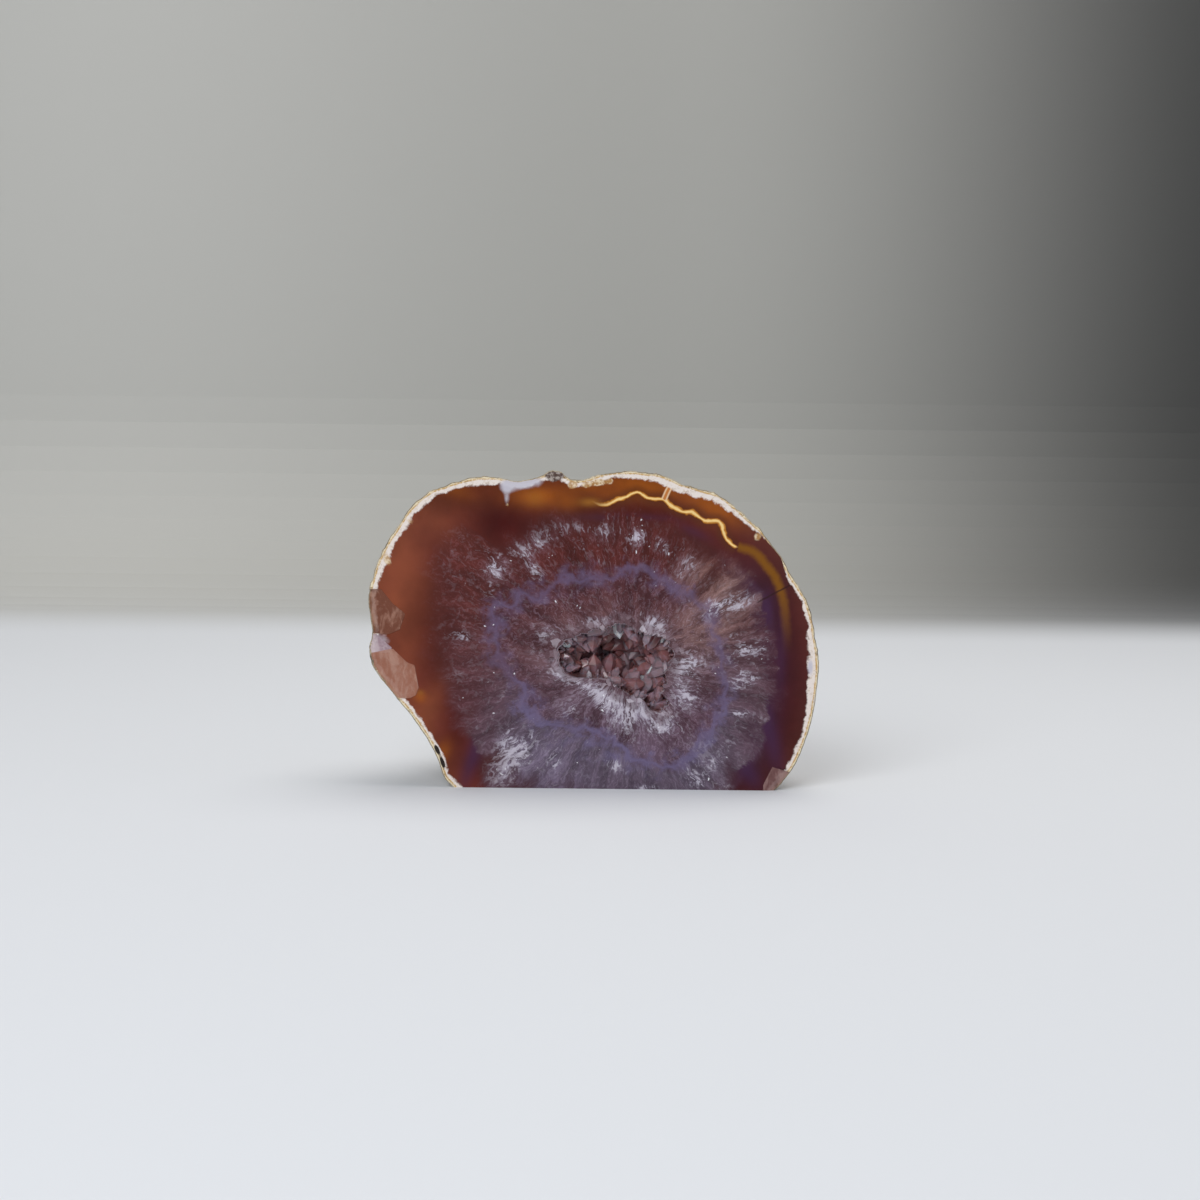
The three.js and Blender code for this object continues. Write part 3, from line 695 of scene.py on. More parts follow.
class Graph:
    """Short calls that add nodes to one tree, join them and lay them out in rows."""
    ROW_LENGTH = 14
    NODE_WIDTH = 190
    NODE_HEIGHT = 260

    def __init__(self, tree):
        self.tree = tree

    def add(self, kind, inputs=None, **settings):
        node = self.tree.nodes.new(kind)
        count = len(self.tree.nodes)
        row, column = divmod(count, self.ROW_LENGTH)
        node.location = (column * self.NODE_WIDTH, -row * self.NODE_HEIGHT)
        for name, value in settings.items():
            setattr(node, name, value)
        for name, value in (inputs or {}).items():
            self.feed(node.inputs[name], value)
        return node

    def out(self, kind, inputs=None, output=0, **settings):
        """Adds a node and gives one of its outputs."""
        return Value(self, self.add(kind, inputs, **settings).outputs[output])

    def given(self):
        """The inputs of the whole tree by name."""
        return {socket.name: Value(self, socket) for socket in self.add("NodeGroupInput").outputs}

    def feed(self, socket, value):
        if isinstance(value, Value):
            value = value.socket
        if isinstance(value, bpy.types.NodeSocket):
            self.tree.links.new(value, socket)
        else:
            socket.default_value = value

    def math(self, operation, first, second=0.0, clamp=False):
        return self.out("ShaderNodeMath", {0: first, 1: second}, operation=operation, use_clamp=clamp)

    def limited(self, first, second):
        """A product kept between zero and one."""
        return self.math("MULTIPLY", first, second, clamp=True)

    def larger(self, first, second):
        return self.math("MAXIMUM", first, second)

    def sway(self, value, amount):
        """A value from 0 to 1, moved to lie about zero and scaled."""
        return (value - 0.5) * amount

    def vector(self, operation, first, second):
        return self.out("ShaderNodeVectorMath", {0: first, 1: second}, operation=operation)

    def scaled(self, vector, factor):
        return self.out("ShaderNodeVectorMath", {0: vector, "Scale": factor}, operation="SCALE")

    def axes(self, vector):
        return self.add("ShaderNodeSeparateXYZ", {"Vector": vector}).outputs

    def mix(self, factor, first, second, blend="MIX"):
        values = {0: factor, 6: first, 7: second}
        return self.out("ShaderNodeMix", values, 2, data_type="RGBA", blend_type=blend)

    def layered(self, colour, *layers):
        """A colour with others laid over it in turn, each by its own amount."""
        for amount, upper in layers:
            colour = self.mix(amount, colour, upper)
        return colour

    def shaded(self, colour, value):
        """A colour made darker or lighter by a value about one."""
        grey = self.out("ShaderNodeCombineXYZ", {axis: value for axis in "XYZ"})
        return self.mix(1.0, colour, grey, blend="MULTIPLY")

    def blend(self, factor, first, second):
        return self.out("ShaderNodeMix", {0: factor, 2: first, 3: second}, data_type="FLOAT")

    def noise(self, vector, scale, detail=3.0, roughness=0.5, distortion=0.0, output="Fac"):
        return self.out("ShaderNodeTexNoise", {
            "Vector": vector, "Scale": scale, "Detail": detail, "Roughness": roughness,
            "Distortion": distortion}, output)

    def cells(self, vector, scale):
        return self.add("ShaderNodeTexVoronoi", {"Vector": vector, "Scale": scale}).outputs

    def distance(self, vector, scale, feature="F1"):
        """Distance to the middle of the nearest cell, or to its edge."""
        values = {"Vector": vector, "Scale": scale}
        return self.out("ShaderNodeTexVoronoi", values, "Distance", feature=feature)

    def fade(self, value, low, high, low_out=0.0, high_out=1.0):
        values = {"Value": value, "From Min": low, "From Max": high, "To Min": low_out, "To Max": high_out}
        return self.out("ShaderNodeMapRange", values, interpolation_type="SMOOTHSTEP")

    def ramp(self, value, *stops):
        node = self.add("ShaderNodeValToRGB", {"Fac": value})
        elements = node.color_ramp.elements
        while len(elements) < len(stops):
            elements.new(0.5)
        for element, (position, *colour) in zip(elements, stops):
            element.position = position
            element.color = shade(*colour)
        return node.outputs["Color"]

    def bump(self, strength, distance, height):
        values = {"Strength": strength, "Distance": distance, "Height": height}
        return self.out("ShaderNodeBump", values)

    def field(self, name, output="Fac"):
        return self.out("ShaderNodeAttribute", output=output, attribute_name=name)

    def millimetres(self):
        return self.scaled(self.out("ShaderNodeTexCoord", output="Object"), 1 / MM)

    def group(self, tree, inputs):
        return self.add("ShaderNodeGroup", inputs, node_tree=tree).outputs


def new_material(name):
    material = bpy.data.materials.new(name)
    material.use_nodes = True
    material.node_tree.nodes.clear()
    return material, Graph(material.node_tree)


def close_material(graph, inputs):
    surface = graph.add("ShaderNodeBsdfPrincipled", inputs)
    graph.add("ShaderNodeOutputMaterial", {"Surface": surface.outputs["BSDF"]})


def new_group(name, inputs, outputs):
    """A shader group with named sockets, and its graph, its input node and its output node."""
    tree = bpy.data.node_groups.new(name, "ShaderNodeTree")
    for label, kind, default in inputs:
        socket = tree.interface.new_socket(label, in_out="INPUT", socket_type=kind)
        if default is not None:
            socket.default_value = default
    for label, kind in outputs:
        tree.interface.new_socket(label, in_out="OUTPUT", socket_type=kind)
    graph = Graph(tree)
    return tree, graph, graph.given(), graph.add("NodeGroupOutput").inputs


def quartz_growth_group():
    """Crystals that grew side by side: their shade, their outlines, white threads, scribbles and glints."""
    number, vector = "NodeSocketFloat", "NodeSocketVector"
    tree, graph, given, result = new_group(
        "Quartz growth",
        [("Growth", vector, None), ("Place", vector, None), ("Width", number, 0.8),
         ("Stretch", number, 0.25), ("Milkiness", number, 0.3)],
        [(name, number) for name in QUARTZ_PATTERNS],
    )
    warp = graph.noise(given["Place"], 0.3, 3, 0.6, output="Color")
    drift = graph.scaled(graph.vector("SUBTRACT", warp, (0.5, 0.5, 0.5)), 2.6)
    bent = graph.vector("ADD", given["Growth"], drift)
    squeeze = graph.out("ShaderNodeCombineXYZ", {"X": 1.0, "Y": 1.0, "Z": given["Stretch"]})
    along = graph.vector("MULTIPLY", bent, squeeze)
    scale = 1.0 / given["Width"]
    graph.feed(result["Shade"], graph.noise(along, scale * 0.45, 5, 0.62, 0.3))
    seam = graph.distance(along, scale * 0.5, feature="DISTANCE_TO_EDGE")
    patchy = graph.fade(graph.noise(given["Place"], 0.33, 3, 0.6), 0.58, 0.76)
    graph.feed(result["Needles"], graph.fade(seam, 0.05, 0.005) * patchy)
    stroke = graph.distance(along, scale * 1.15, feature="DISTANCE_TO_EDGE")
    broken = graph.fade(graph.noise(given["Place"], 1.7, 3, 0.6), 0.46, 0.56)
    graph.feed(result["Strokes"], graph.fade(stroke, 0.13, 0.03) * broken)
    thread = graph.noise(along, scale * 1.25, 4, 0.66, 0.35)
    level = graph.fade(given["Milkiness"], 0, 1, 0.68, 0.42)
    graph.feed(result["Threads"], graph.limited(thread - level, 8.0))
    filament = graph.noise(along, scale * 2.8, 4, 0.75, 0.8)
    graph.feed(result["Filaments"], graph.fade(filament, 0.42, 0.64))
    curls = graph.noise(along, scale * 2.3, 3, 0.6, 1.2)
    curl = abs(curls - 0.5)
    scribble_patch = graph.noise(given["Place"], 1.3, 3, 0.6)
    allowed = graph.fade(scribble_patch, graph.fade(given["Milkiness"], 0, 1, 0.6, 0.42), 0.7)
    graph.feed(result["Scribbles"], graph.fade(curl, 0.045, 0.01) * allowed)
    fleck_place = graph.vector("ADD", given["Place"], graph.scaled(warp, 3.0))
    fleck = graph.cells(fleck_place, 1.5)
    fleck_split = graph.add("ShaderNodeSeparateColor", {"Color": fleck["Color"]}).outputs
    chance = graph.fade(given["Milkiness"], 0, 1, 0.99, 0.82)
    rare = graph.math("GREATER_THAN", fleck_split[1], chance)
    size = graph.fade(fleck_split[0], 0.2, 1.0, 0.14, 0.34)
    core = graph.fade(graph.math("DIVIDE", fleck["Distance"], size), 1.0, 0.4)
    graph.feed(result["Glints"], rare * core)
    return tree


def rind_group():
    """The rind's layers from the skin inwards, for a depth in millimetres."""
    number, vector, colour = "NodeSocketFloat", "NodeSocketVector", "NodeSocketColor"
    tree, graph, given, result = new_group(
        "Weathered rind",
        [("Depth", number, 0.5), ("Width", number, 1.0), ("Place", vector, None),
         ("Cream", colour, shade(232, 218, 186)), ("Ochre", colour, shade(196, 156, 96)),
         ("Chalk", colour, shade(232, 220, 212))],
        [("Color", colour), ("Mask", number)],
    )
    lobes = graph.noise(given["Place"], 0.55, 5, 0.6, 0.4)
    feathers = graph.noise(given["Place"], 2.6, 4, 0.7)
    wander = graph.sway(lobes, 1.5)
    fringe = graph.sway(feathers, 0.5)
    share = given["Depth"] / given["Width"]
    ragged = share + (wander + fringe)
    graph.feed(result["Mask"], graph.fade(ragged, 1.12, 0.78))
    line_place = given["Depth"] + graph.sway(lobes, 0.35)
    ochre = graph.fade(line_place, 0.28, 0.36) * graph.fade(line_place, 0.58, 0.48)
    ochre *= graph.fade(feathers, 0.4, 0.55, 0.25, 0.95)
    pits = graph.fade(graph.noise(given["Place"], 1.9, 4, 0.6, 0.6), 0.58, 0.68)
    pits *= graph.fade(line_place, 0.75, 0.3) * 0.85
    graph.feed(result["Color"], graph.layered(
        given["Cream"],
        (graph.fade(line_place, 0.3, 0.6), given["Chalk"]),
        (graph.fade(feathers, 0.5, 0.68, 0.0, 0.6), shade(196, 176, 150)),
        (ochre, given["Ochre"]),
        (pits, shade(92, 70, 48)),
    ))
    return tree


def polished_agate_material(groups, colours):
    """The polished face, from the agate to the quartz, and what lies over both."""
    material, graph = new_material("Polished agate")
    place = graph.millimetres()
    split = graph.axes(place)
    band = graph.field("band")
    mottle = graph.noise(place, 0.16, 4, 0.55)
    veil = graph.noise(place, 0.5, 5, 0.6)

    # Agate between the rind and the crystals
    right = graph.fade(split["X"], 16, 25)
    purplish = graph.ramp(
        band, (0.0, 84, 40, 32), (0.45, 74, 30, 30), (0.85, 62, 28, 40), (1.0, 70, 40, 62))
    agate = graph.layered(
        graph.ramp(band, (0.0, 112, 56, 34), (0.35, 106, 48, 36), (0.8, 88, 34, 28), (1.0, 78, 34, 32)),
        (right, purplish),
        (graph.fade(split["Z"], 37, 42) * 0.7, shade(84, 36, 18)),
        (graph.field("carnelian"), colours.carnelian),
        (graph.field("maroon"), colours.maroon),
        # painted glow of light shining through the thin agate under the rind, over its amber colour
        (graph.field("amber_glow") * 0.9, colours.amber_glow),
    )
    agate = graph.shaded(agate, graph.fade(mottle, 0.3, 0.7, 0.84, 1.16))

    # Quartz that grew from the agate to the hollow
    spray, haze = graph.field("spray"), graph.field("haze")
    rest = graph.fade(veil, 0.42, 0.7, 0.06, 0.34) + graph.fade(band, 2.3, 2.9, 0.0, 0.1)
    milk_amount = spray * 0.85 + rest
    outer, inner = (graph.group(groups["growth"], {
        "Growth": graph.field(name, "Vector"), "Place": place, "Width": width, "Stretch": stretch,
        "Milkiness": milk_amount,
    }) for name, width, stretch in (("growth_outer", 0.9, 0.22), ("growth_inner", 0.8, 0.26)))
    inside = graph.fade(band, 1.85, 2.1)
    detail = {name: graph.blend(inside, outer[name], inner[name]) for name in QUARTZ_PATTERNS}
    haze_amount = haze * graph.fade(detail["Shade"], 0.3, 0.7, 0.3, 0.95)
    haze_colour = graph.mix(graph.fade(split["Z"], 8, 24), shade(120, 106, 128), shade(152, 120, 114))
    height = graph.fade(split["Z"], 2, 40)
    quartz = graph.layered(
        graph.ramp(height, (0.0, 92, 78, 92), (0.3, 80, 56, 66), (0.65, 78, 38, 40), (1.0, 84, 32, 26)),
        (graph.fade(split["X"], -8, -20) * 0.5, shade(90, 42, 36)),
        (right * 0.4, shade(92, 62, 66)),
        (inside * 0.7, shade(78, 40, 47)),
        (haze_amount, haze_colour),
    )
    quartz = graph.shaded(quartz, graph.fade(detail["Shade"], 0.3, 0.7, 0.7, 1.3))
    halo = graph.fade(band, 2.4, 3.0) * graph.fade(veil, 0.4, 0.6, 0.0, 0.36)
    cloud = graph.larger(spray, halo)
    quartz = graph.shaded(quartz, graph.fade(detail["Filaments"], 0, 1, 0.88, 1.16))
    flecked = graph.fade(detail["Filaments"], 0.5, 1.0) * graph.fade(inside, 0, 1, 0.08, 0.22)
    whiteness = cloud * graph.fade(detail["Shade"], 0.38, 0.6, 0.15, 0.9)
    whiteness = graph.limited(whiteness, graph.fade(detail["Filaments"], 0, 0.8, 0.35, 1.2))
    whiteness *= graph.fade(inside, 0, 1, 0.5, 0.72)
    strokes = detail["Strokes"] * graph.fade(milk_amount, 0.2, 0.75, 0.06, 0.8)
    strokes *= graph.fade(inside, 0, 1, 1.0, 0.7)
    quartz = graph.layered(
        quartz,
        (flecked, shade(150, 132, 150)),
        (whiteness, shade(164, 156, 176)),
        (strokes, shade(204, 198, 212)),
        (detail["Needles"] * 0.2, colours.wisp),
    )

    # The lavender ring between the two growths
    wander = graph.noise(place, 0.28, 5, 0.68, 0.6) - 0.5
    kinks = graph.distance(place, 0.42) - 0.5
    bends = wander * 0.6 + kinks * 0.2
    ring_place = abs(band + bends - 2.0)
    strength = graph.fade(graph.noise(place, 0.14, 3, 0.6), 0.35, 0.6, 0.6, 1.0)
    cloud = graph.fade(ring_place, 0.34, 0.05) * graph.fade(veil, 0.42, 0.64, 0.04, 0.6)
    ring = graph.fade(ring_place, 0.14, 0.0) * 0.66
    ring = graph.larger(ring, cloud) * strength
    low = graph.fade(split["Z"], 20, 8)
    ring = graph.limited(ring, graph.fade(low, 0, 1, 0.9, 1.2))
    drawn = detail["Scribbles"] * graph.fade(milk_amount, 0.35, 0.9, 0.0, 0.6)
    quartz = graph.layered(
        quartz,
        (ring, graph.mix(low, colours.lavender, shade(111, 100, 134))),
        (detail["Threads"] * graph.fade(milk_amount, 0, 1, 0.22, 1.0), colours.wisp),
        (drawn, shade(200, 194, 204)),
        (detail["Glints"], shade(226, 224, 230)),
    )

    # Crystal ends that the polish cut at the mouth
    jitter = graph.scaled(graph.noise(place, 0.9, 3, 0.6, output="Color"), 0.9)
    ends = graph.cells(graph.vector("ADD", place, jitter), 1.05)
    end_shade = graph.out("ShaderNodeSeparateColor", {"Color": ends["Color"]})
    facets = graph.ramp(
        end_shade, (0.0, 66, 40, 44), (0.5, 96, 70, 76), (0.85, 128, 106, 114), (1.0, 190, 180, 188))
    near_mouth = graph.fade(band + graph.sway(veil, 0.7), 2.74, 2.9)
    quartz = graph.mix(near_mouth * 0.6, quartz, facets)

    # Where the crystals begin
    start = band + graph.sway(detail["Shade"], 0.7)
    start += mottle - 0.5
    clear_edge = graph.limited(graph.field("violet"), 2.0)
    crystalline = graph.blend(clear_edge, graph.fade(start, 0.7, 1.5), graph.fade(start, 0.92, 1.08))
    violet = graph.field("violet") * 0.7
    body = graph.layered(agate, (violet, colours.violet), (crystalline, quartz))

    # What lies over both: lines, rind, patches along the rind and scars
    body = add_lines(graph, place, body)
    rind = graph.group(groups["rind"], {
        "Depth": graph.field("rim_distance"), "Width": graph.field("rind_width"), "Place": place})
    crumb_grain = graph.fade(graph.noise(place, 1.6, 4, 0.65), 0.42, 0.6)
    crumbs = graph.mix(crumb_grain, shade(176, 132, 82), shade(228, 208, 176))
    druzy_grain = graph.fade(graph.noise(place, 2.4, 4, 0.7), 0.4, 0.62)
    druzy = graph.mix(druzy_grain, shade(84, 66, 60), shade(170, 158, 150))

    def patch(name, fray, low, high):
        return graph.fade(graph.field(name) + veil * fray, low, high)

    body = graph.layered(
        body,
        (rind["Mask"], rind["Color"]),
        (patch("milk", 0.7, 0.6, 1.15) * 0.92, colours.milk),
        (patch("cream", 0.8, 0.85, 1.1) * 0.9, crumbs),
        (patch("slit", 0.3, 0.5, 0.75), shade(46, 38, 34)),
        (patch("lump", 0.5, 0.6, 0.8), druzy),
    )
    body, chipped = add_scars(graph, place, body)

    chips = chipped * graph.noise(place, 1.4, 5, 0.6)
    close_material(graph, {
        "Base Color": body,
        "Roughness": 0.5,
        "Specular IOR Level": 0.0,
        "Coat Weight": graph.fade(chipped, 0, 1, 0.22, 0.0),
        "Coat Roughness": 0.04,
        "Normal": graph.bump(0.6, 0.0004, chips),
    })
    return material


def add_lines(graph, place, body):
    """The yellow vein with its branch, the mustard band that carries it on, and the fracture."""
    waver = graph.noise(place, 1.1, 3, 0.6) - 0.5

    def wavering(name, amount):
        return abs(graph.field(name) + waver * amount)

    def within(name, start, end):
        way = graph.field(name)
        return graph.fade(way, 0.0, start) * graph.fade(way, 1.0, end)

    near = graph.fade(abs(graph.field("vein")), 1.5, 0.3) * 0.6
    ends = within("vein_along", 0.16, 0.985)
    run = graph.field("mustard_along")
    span = graph.fade(run, 1.0, 0.4) * graph.fade(wavering("mustard", 0.5), 1.05, 0.1)
    started = graph.fade(run, 0.0, 0.01)
    swell = graph.fade(graph.noise(place, 0.6, 2, 0.5), 0.35, 0.65, 0.75, 1.5)
    vein = wavering("vein", 0.3) * swell
    branch = abs(graph.field("branch"))
    reached = graph.fade(graph.field("branch_along"), 0.0, 0.05)
    whole = within("fracture_along", 0.1, 0.97)
    crack = graph.fade(wavering("fracture", 0.2), 0.2, 0.03) * (whole * 0.8)
    return graph.layered(
        body,
        (near * ends, shade(86, 44, 22)),
        (span * (started * 0.85), shade(130, 82, 16)),
        # painted glow of light shining through thin agate
        (graph.field("glow") * 0.85, shade(150, 96, 34)),
        (graph.fade(vein, 0.42, 0.24) * ends, shade(188, 122, 44)),
        (graph.fade(vein, 0.24, 0.08) * ends, shade(240, 204, 134)),
        (graph.fade(branch, 0.5, 0.34) * reached, shade(222, 186, 148)),
        (graph.fade(branch, 0.26, 0.12) * reached, shade(190, 118, 60)),
        (crack, shade(48, 22, 22)),
    )


def add_scars(graph, place, body):
    """The flake scars' own colours, and where the polish is broken."""
    streaks = graph.noise(graph.vector("MULTIPLY", place, (1.0, 1.0, 0.45)), 0.7, 4, 0.6, 0.5)
    chipped = None
    for name, low, high, first, second in SCAR_COLOURS:
        colour = graph.mix(graph.fade(streaks, low, high), shade(*first), shade(*second))
        mask = graph.fade(graph.field("scar_" + name), -0.03, 0.08)
        body = graph.mix(mask * 0.92, body, colour)
        chipped = mask if chipped is None else graph.larger(chipped, mask)
    return body, chipped


def weathered_skin_material(colours):
    """Dull, pitted and stained outside of the nodule, with painted shade that makes it darker in its
    creases and pits.
    """
    material, graph = new_material("Weathered skin")
    place = graph.millimetres()
    blotch = graph.noise(place, 0.07, 5, 0.6, 0.3)
    patch = graph.noise(place, 0.26, 8, 0.66, 0.5)
    stain = graph.noise(place, 0.2, 7, 0.64, 0.8)
    grain = graph.noise(place, 1.5, 8, 0.72)
    crease = graph.field("crease") + graph.fade(patch, 0.3, 0.7, 0.35, -0.35)
    crust = graph.fade(patch - graph.field("crease") * 0.06, 0.48, 0.56)
    colour = graph.layered(
        colours.skin,
        (graph.fade(blotch, 0.38, 0.62), shade(158, 140, 112)),
        # painted shade in the creases between the knobs
        (graph.fade(crease, 0.3, 1.1) * 0.62, shade(112, 90, 70)),
        (crust * 0.65, shade(216, 202, 176)),
        (graph.fade(stain, 0.56, 0.7) * 0.7, shade(150, 98, 56)),
    )
    colour = graph.shaded(colour, graph.fade(grain, 0.3, 0.7, 0.7, 1.25))
    warp = graph.scaled(graph.noise(place, 0.8, 3, 0.6, output="Color"), 1.6)
    bent = graph.vector("ADD", place, warp)
    large, small = (graph.fade(graph.distance(bent, scale), edge, heart)
                    for scale, edge, heart in ((0.62, 0.34, 0.08), (1.9, 0.3, 0.1)))
    scarce = graph.fade(graph.noise(place, 0.34, 3, 0.6), 0.5, 0.62)
    pits = graph.larger(large * scarce, small * 0.5)
    # painted shade in the pits
    colour = graph.mix(pits * 0.6, colour, shade(84, 66, 52))
    height = grain + patch * 1.2
    height = height - pits * 0.8
    close_material(graph, {
        "Base Color": colour,
        "Roughness": graph.fade(grain, 0.3, 0.7, 0.62, 0.9),
        "Normal": graph.bump(0.9, 0.0008, height),
    })
    return material


def sawn_foot_material():
    """Unpolished agate with the saw's fine marks."""
    material, graph = new_material("Sawn foot")
    place = graph.millimetres()
    mottle = graph.noise(place, 0.2, 5, 0.6)
    colour = graph.mix(graph.fade(mottle, 0.35, 0.65), shade(112, 74, 64), shade(134, 104, 102))
    marks = graph.out("ShaderNodeTexWave", {
        "Vector": place, "Scale": 0.5, "Distortion": 0.6, "Detail": 2.0}, "Fac", bands_direction="DIAGONAL")
    close_material(graph, {
        "Base Color": colour, "Roughness": 0.55, "Normal": graph.bump(0.15, 0.0002, marks)})
    return material


def druse_material(colours):
    """Clear reddish quartz: the stone's hollow wall and the druse share it, so it is made only once."""
    if "Druse quartz" in bpy.data.materials:
        return bpy.data.materials["Druse quartz"]
    material, graph = new_material("Druse quartz")
    place = graph.millimetres()
    tint = graph.field("crystal_tint")
    depth = graph.axes(place)["Y"]
    veil = graph.noise(place, 0.7, 4, 0.6)
    colour = graph.layered(
        colours.druse,
        (graph.fade(veil, 0.4, 0.62), shade(146, 124, 138)),
        # painted light: the deeper points are painted lighter against the shade in the hollow, and redder
        # as the quartz deeper in is
        (graph.fade(depth, -13.2, -9, 0.0, 0.5), shade(164, 102, 98)),
        (graph.fade(tint, 0.55, 0.75, 0.0, 0.55), shade(150, 132, 142)),
        # near-white quartz points, which also stand for painted glints on the crystals
        (graph.fade(tint, 0.94, 0.98), shade(240, 232, 236)),
        (graph.fade(tint, 0.2, 0.0, 0.0, 0.6), shade(126, 74, 68)),
        (graph.fade(depth, -13.4, -14.3, 0.0, 0.8), shade(138, 118, 128)),
    )
    close_material(graph, {
        "Base Color": colour, "Roughness": graph.fade(tint, 0, 1, 0.12, 0.4), "IOR": 1.55,
        "Subsurface Weight": 0.6, "Subsurface Radius": (0.0024, 0.0013, 0.0012), "Subsurface Scale": 1.0})
    return material


# The druse in the hollow

def lining_object(gap, thickness):
    """A closed lining on the hollow's wall, whose inner faces carry the crystals."""
    angles = np.linspace(-math.pi, math.pi, DRUSE_COLUMNS, endpoint=False)
    outer_mouth = ragged_mouth(angles, gap)
    outer_floor = HOLLOW_DEPTH - gap
    inner_floor = outer_floor - thickness
    rising = np.linspace(*LINING_ANGLES, DRUSE_ROWS // 2)
    outer = [hollow_wall(outer_mouth, outer_floor, angle) for angle in rising]
    inner = []
    for angle in np.linspace(*reversed(LINING_ANGLES), DRUSE_ROWS):
        share = LINING_SHARE - LINING_NARROWING * math.sin(angle)
        inner_mouth = HOLLOW_AXIS + (outer_mouth - HOLLOW_AXIS) * share
        inner.append(hollow_wall(inner_mouth, inner_floor, angle))
    rows = outer + inner
    floor = np.array((HOLLOW_AXIS[0], outer_floor, HOLLOW_AXIS[1]))
    top = np.array((HOLLOW_AXIS[0], inner_floor, HOLLOW_AXIS[1]))
    points = to_row_frame(np.vstack((floor, *rows, top)))
    item = new_mesh_object("druse_lining", points, grid_faces(len(rows), DRUSE_COLUMNS))
    inner_start = 1 + len(outer) * DRUSE_COLUMNS
    depths = np.array([vertex.co.y for vertex in item.data.vertices])
    deep = depths > STONE_BOX[0][1] + POINTS_START * MM
    carries = deep & (np.arange(len(deep)) >= inner_start)
    add_field(item.data, "carries_crystals", carries.astype(float))
    sheet = bmesh.new()
    sheet.from_mesh(item.data)
    close_sheet(sheet, item)
    return item


def crystal_points_tree(material):
    """Scatters six-sided quartz points over the faces that carry crystals."""
    tree = bpy.data.node_groups.new("Quartz points", "GeometryNodeTree")
    face = tree.interface
    face.new_socket("Geometry", in_out="INPUT", socket_type="NodeSocketGeometry")
    for label in ("Density", "Spacing", "Smallest", "Largest", "Lean"):
        face.new_socket(label, in_out="INPUT", socket_type="NodeSocketFloat")
    face.new_socket("Seed", in_out="INPUT", socket_type="NodeSocketInt")
    face.new_socket("Geometry", in_out="OUTPUT", socket_type="NodeSocketGeometry")
    graph = Graph(tree)
    given = graph.given()

    carries = graph.out("GeometryNodeInputNamedAttribute", {"Name": "carries_crystals"}, data_type="FLOAT")
    chosen = graph.out(
        "FunctionNodeCompare", {0: carries, 1: 0.99}, data_type="FLOAT", operation="GREATER_THAN")
    spread = graph.add("GeometryNodeDistributePointsOnFaces", {
        "Mesh": given["Geometry"], "Selection": chosen, "Distance Min": given["Spacing"],
        "Density Max": given["Density"], "Seed": given["Seed"]}, distribute_method="POISSON")

    joined = graph.add("GeometryNodeJoinGeometry")
    for bottom, top, height, place in QUARTZ_CONES:
        cone = graph.out("GeometryNodeMeshCone", {
            "Vertices": SIDES_OF_QUARTZ, "Radius Top": top, "Radius Bottom": bottom, "Depth": height,
        }, "Mesh", fill_type="NGON")
        moved = graph.out("GeometryNodeTransform", {"Geometry": cone, "Translation": (0, 0, place)})
        graph.feed(joined.inputs[0], moved)

    def random_number(low, high, step):
        seed = given["Seed"] + float(step)
        return graph.out("FunctionNodeRandomValue", {2: low, 3: high, "Seed": seed}, 1, data_type="FLOAT")

    back = given["Lean"] * -1.0
    lean_x, lean_y = (random_number(back, given["Lean"], step) for step in (1, 2))
    spin = random_number(0.0, math.pi, 3)
    euler = graph.out("ShaderNodeCombineXYZ", {"X": lean_x, "Y": lean_y, "Z": spin})
    lean = graph.out("FunctionNodeEulerToRotation", {"Euler": euler})
    turned = graph.out("FunctionNodeRotateRotation", {
        "Rotation": spread.outputs["Rotation"], "Rotate By": lean}, rotation_space="LOCAL")
    luck = graph.math("POWER", random_number(0.0, 1.0, 4), POINT_SMALLNESS)
    size = graph.out("ShaderNodeMapRange", {
        "Value": luck, "To Min": given["Smallest"], "To Max": given["Largest"]})
    depth = graph.axes(graph.out("GeometryNodeInputPosition"))["Y"]
    crowded, free = (STONE_BOX[0][1] + reach * MM for reach in CROWDED_DEPTHS)
    size *= graph.fade(depth, crowded, free, CROWDED_SIZE, 1.0)
    placed = graph.out("GeometryNodeInstanceOnPoints", {
        "Points": spread.outputs["Points"], "Instance": joined.outputs[0], "Rotation": turned,
        "Scale": size})
    tinted = graph.out("GeometryNodeStoreNamedAttribute", {
        "Geometry": placed, "Name": "crystal_tint", "Value": random_number(0.0, 1.0, 5)},
        data_type="FLOAT", domain="INSTANCE")
    whole = graph.add("GeometryNodeJoinGeometry")
    for part in (given["Geometry"], tinted):
        graph.feed(whole.inputs[0], part)
    real = graph.out("GeometryNodeRealizeInstances", {"Geometry": whole.outputs[0]})
    dressed = graph.out("GeometryNodeSetMaterial", {"Geometry": real, "Material": material})
    graph.add("NodeGroupOutput", {"Geometry": dressed})
    return tree


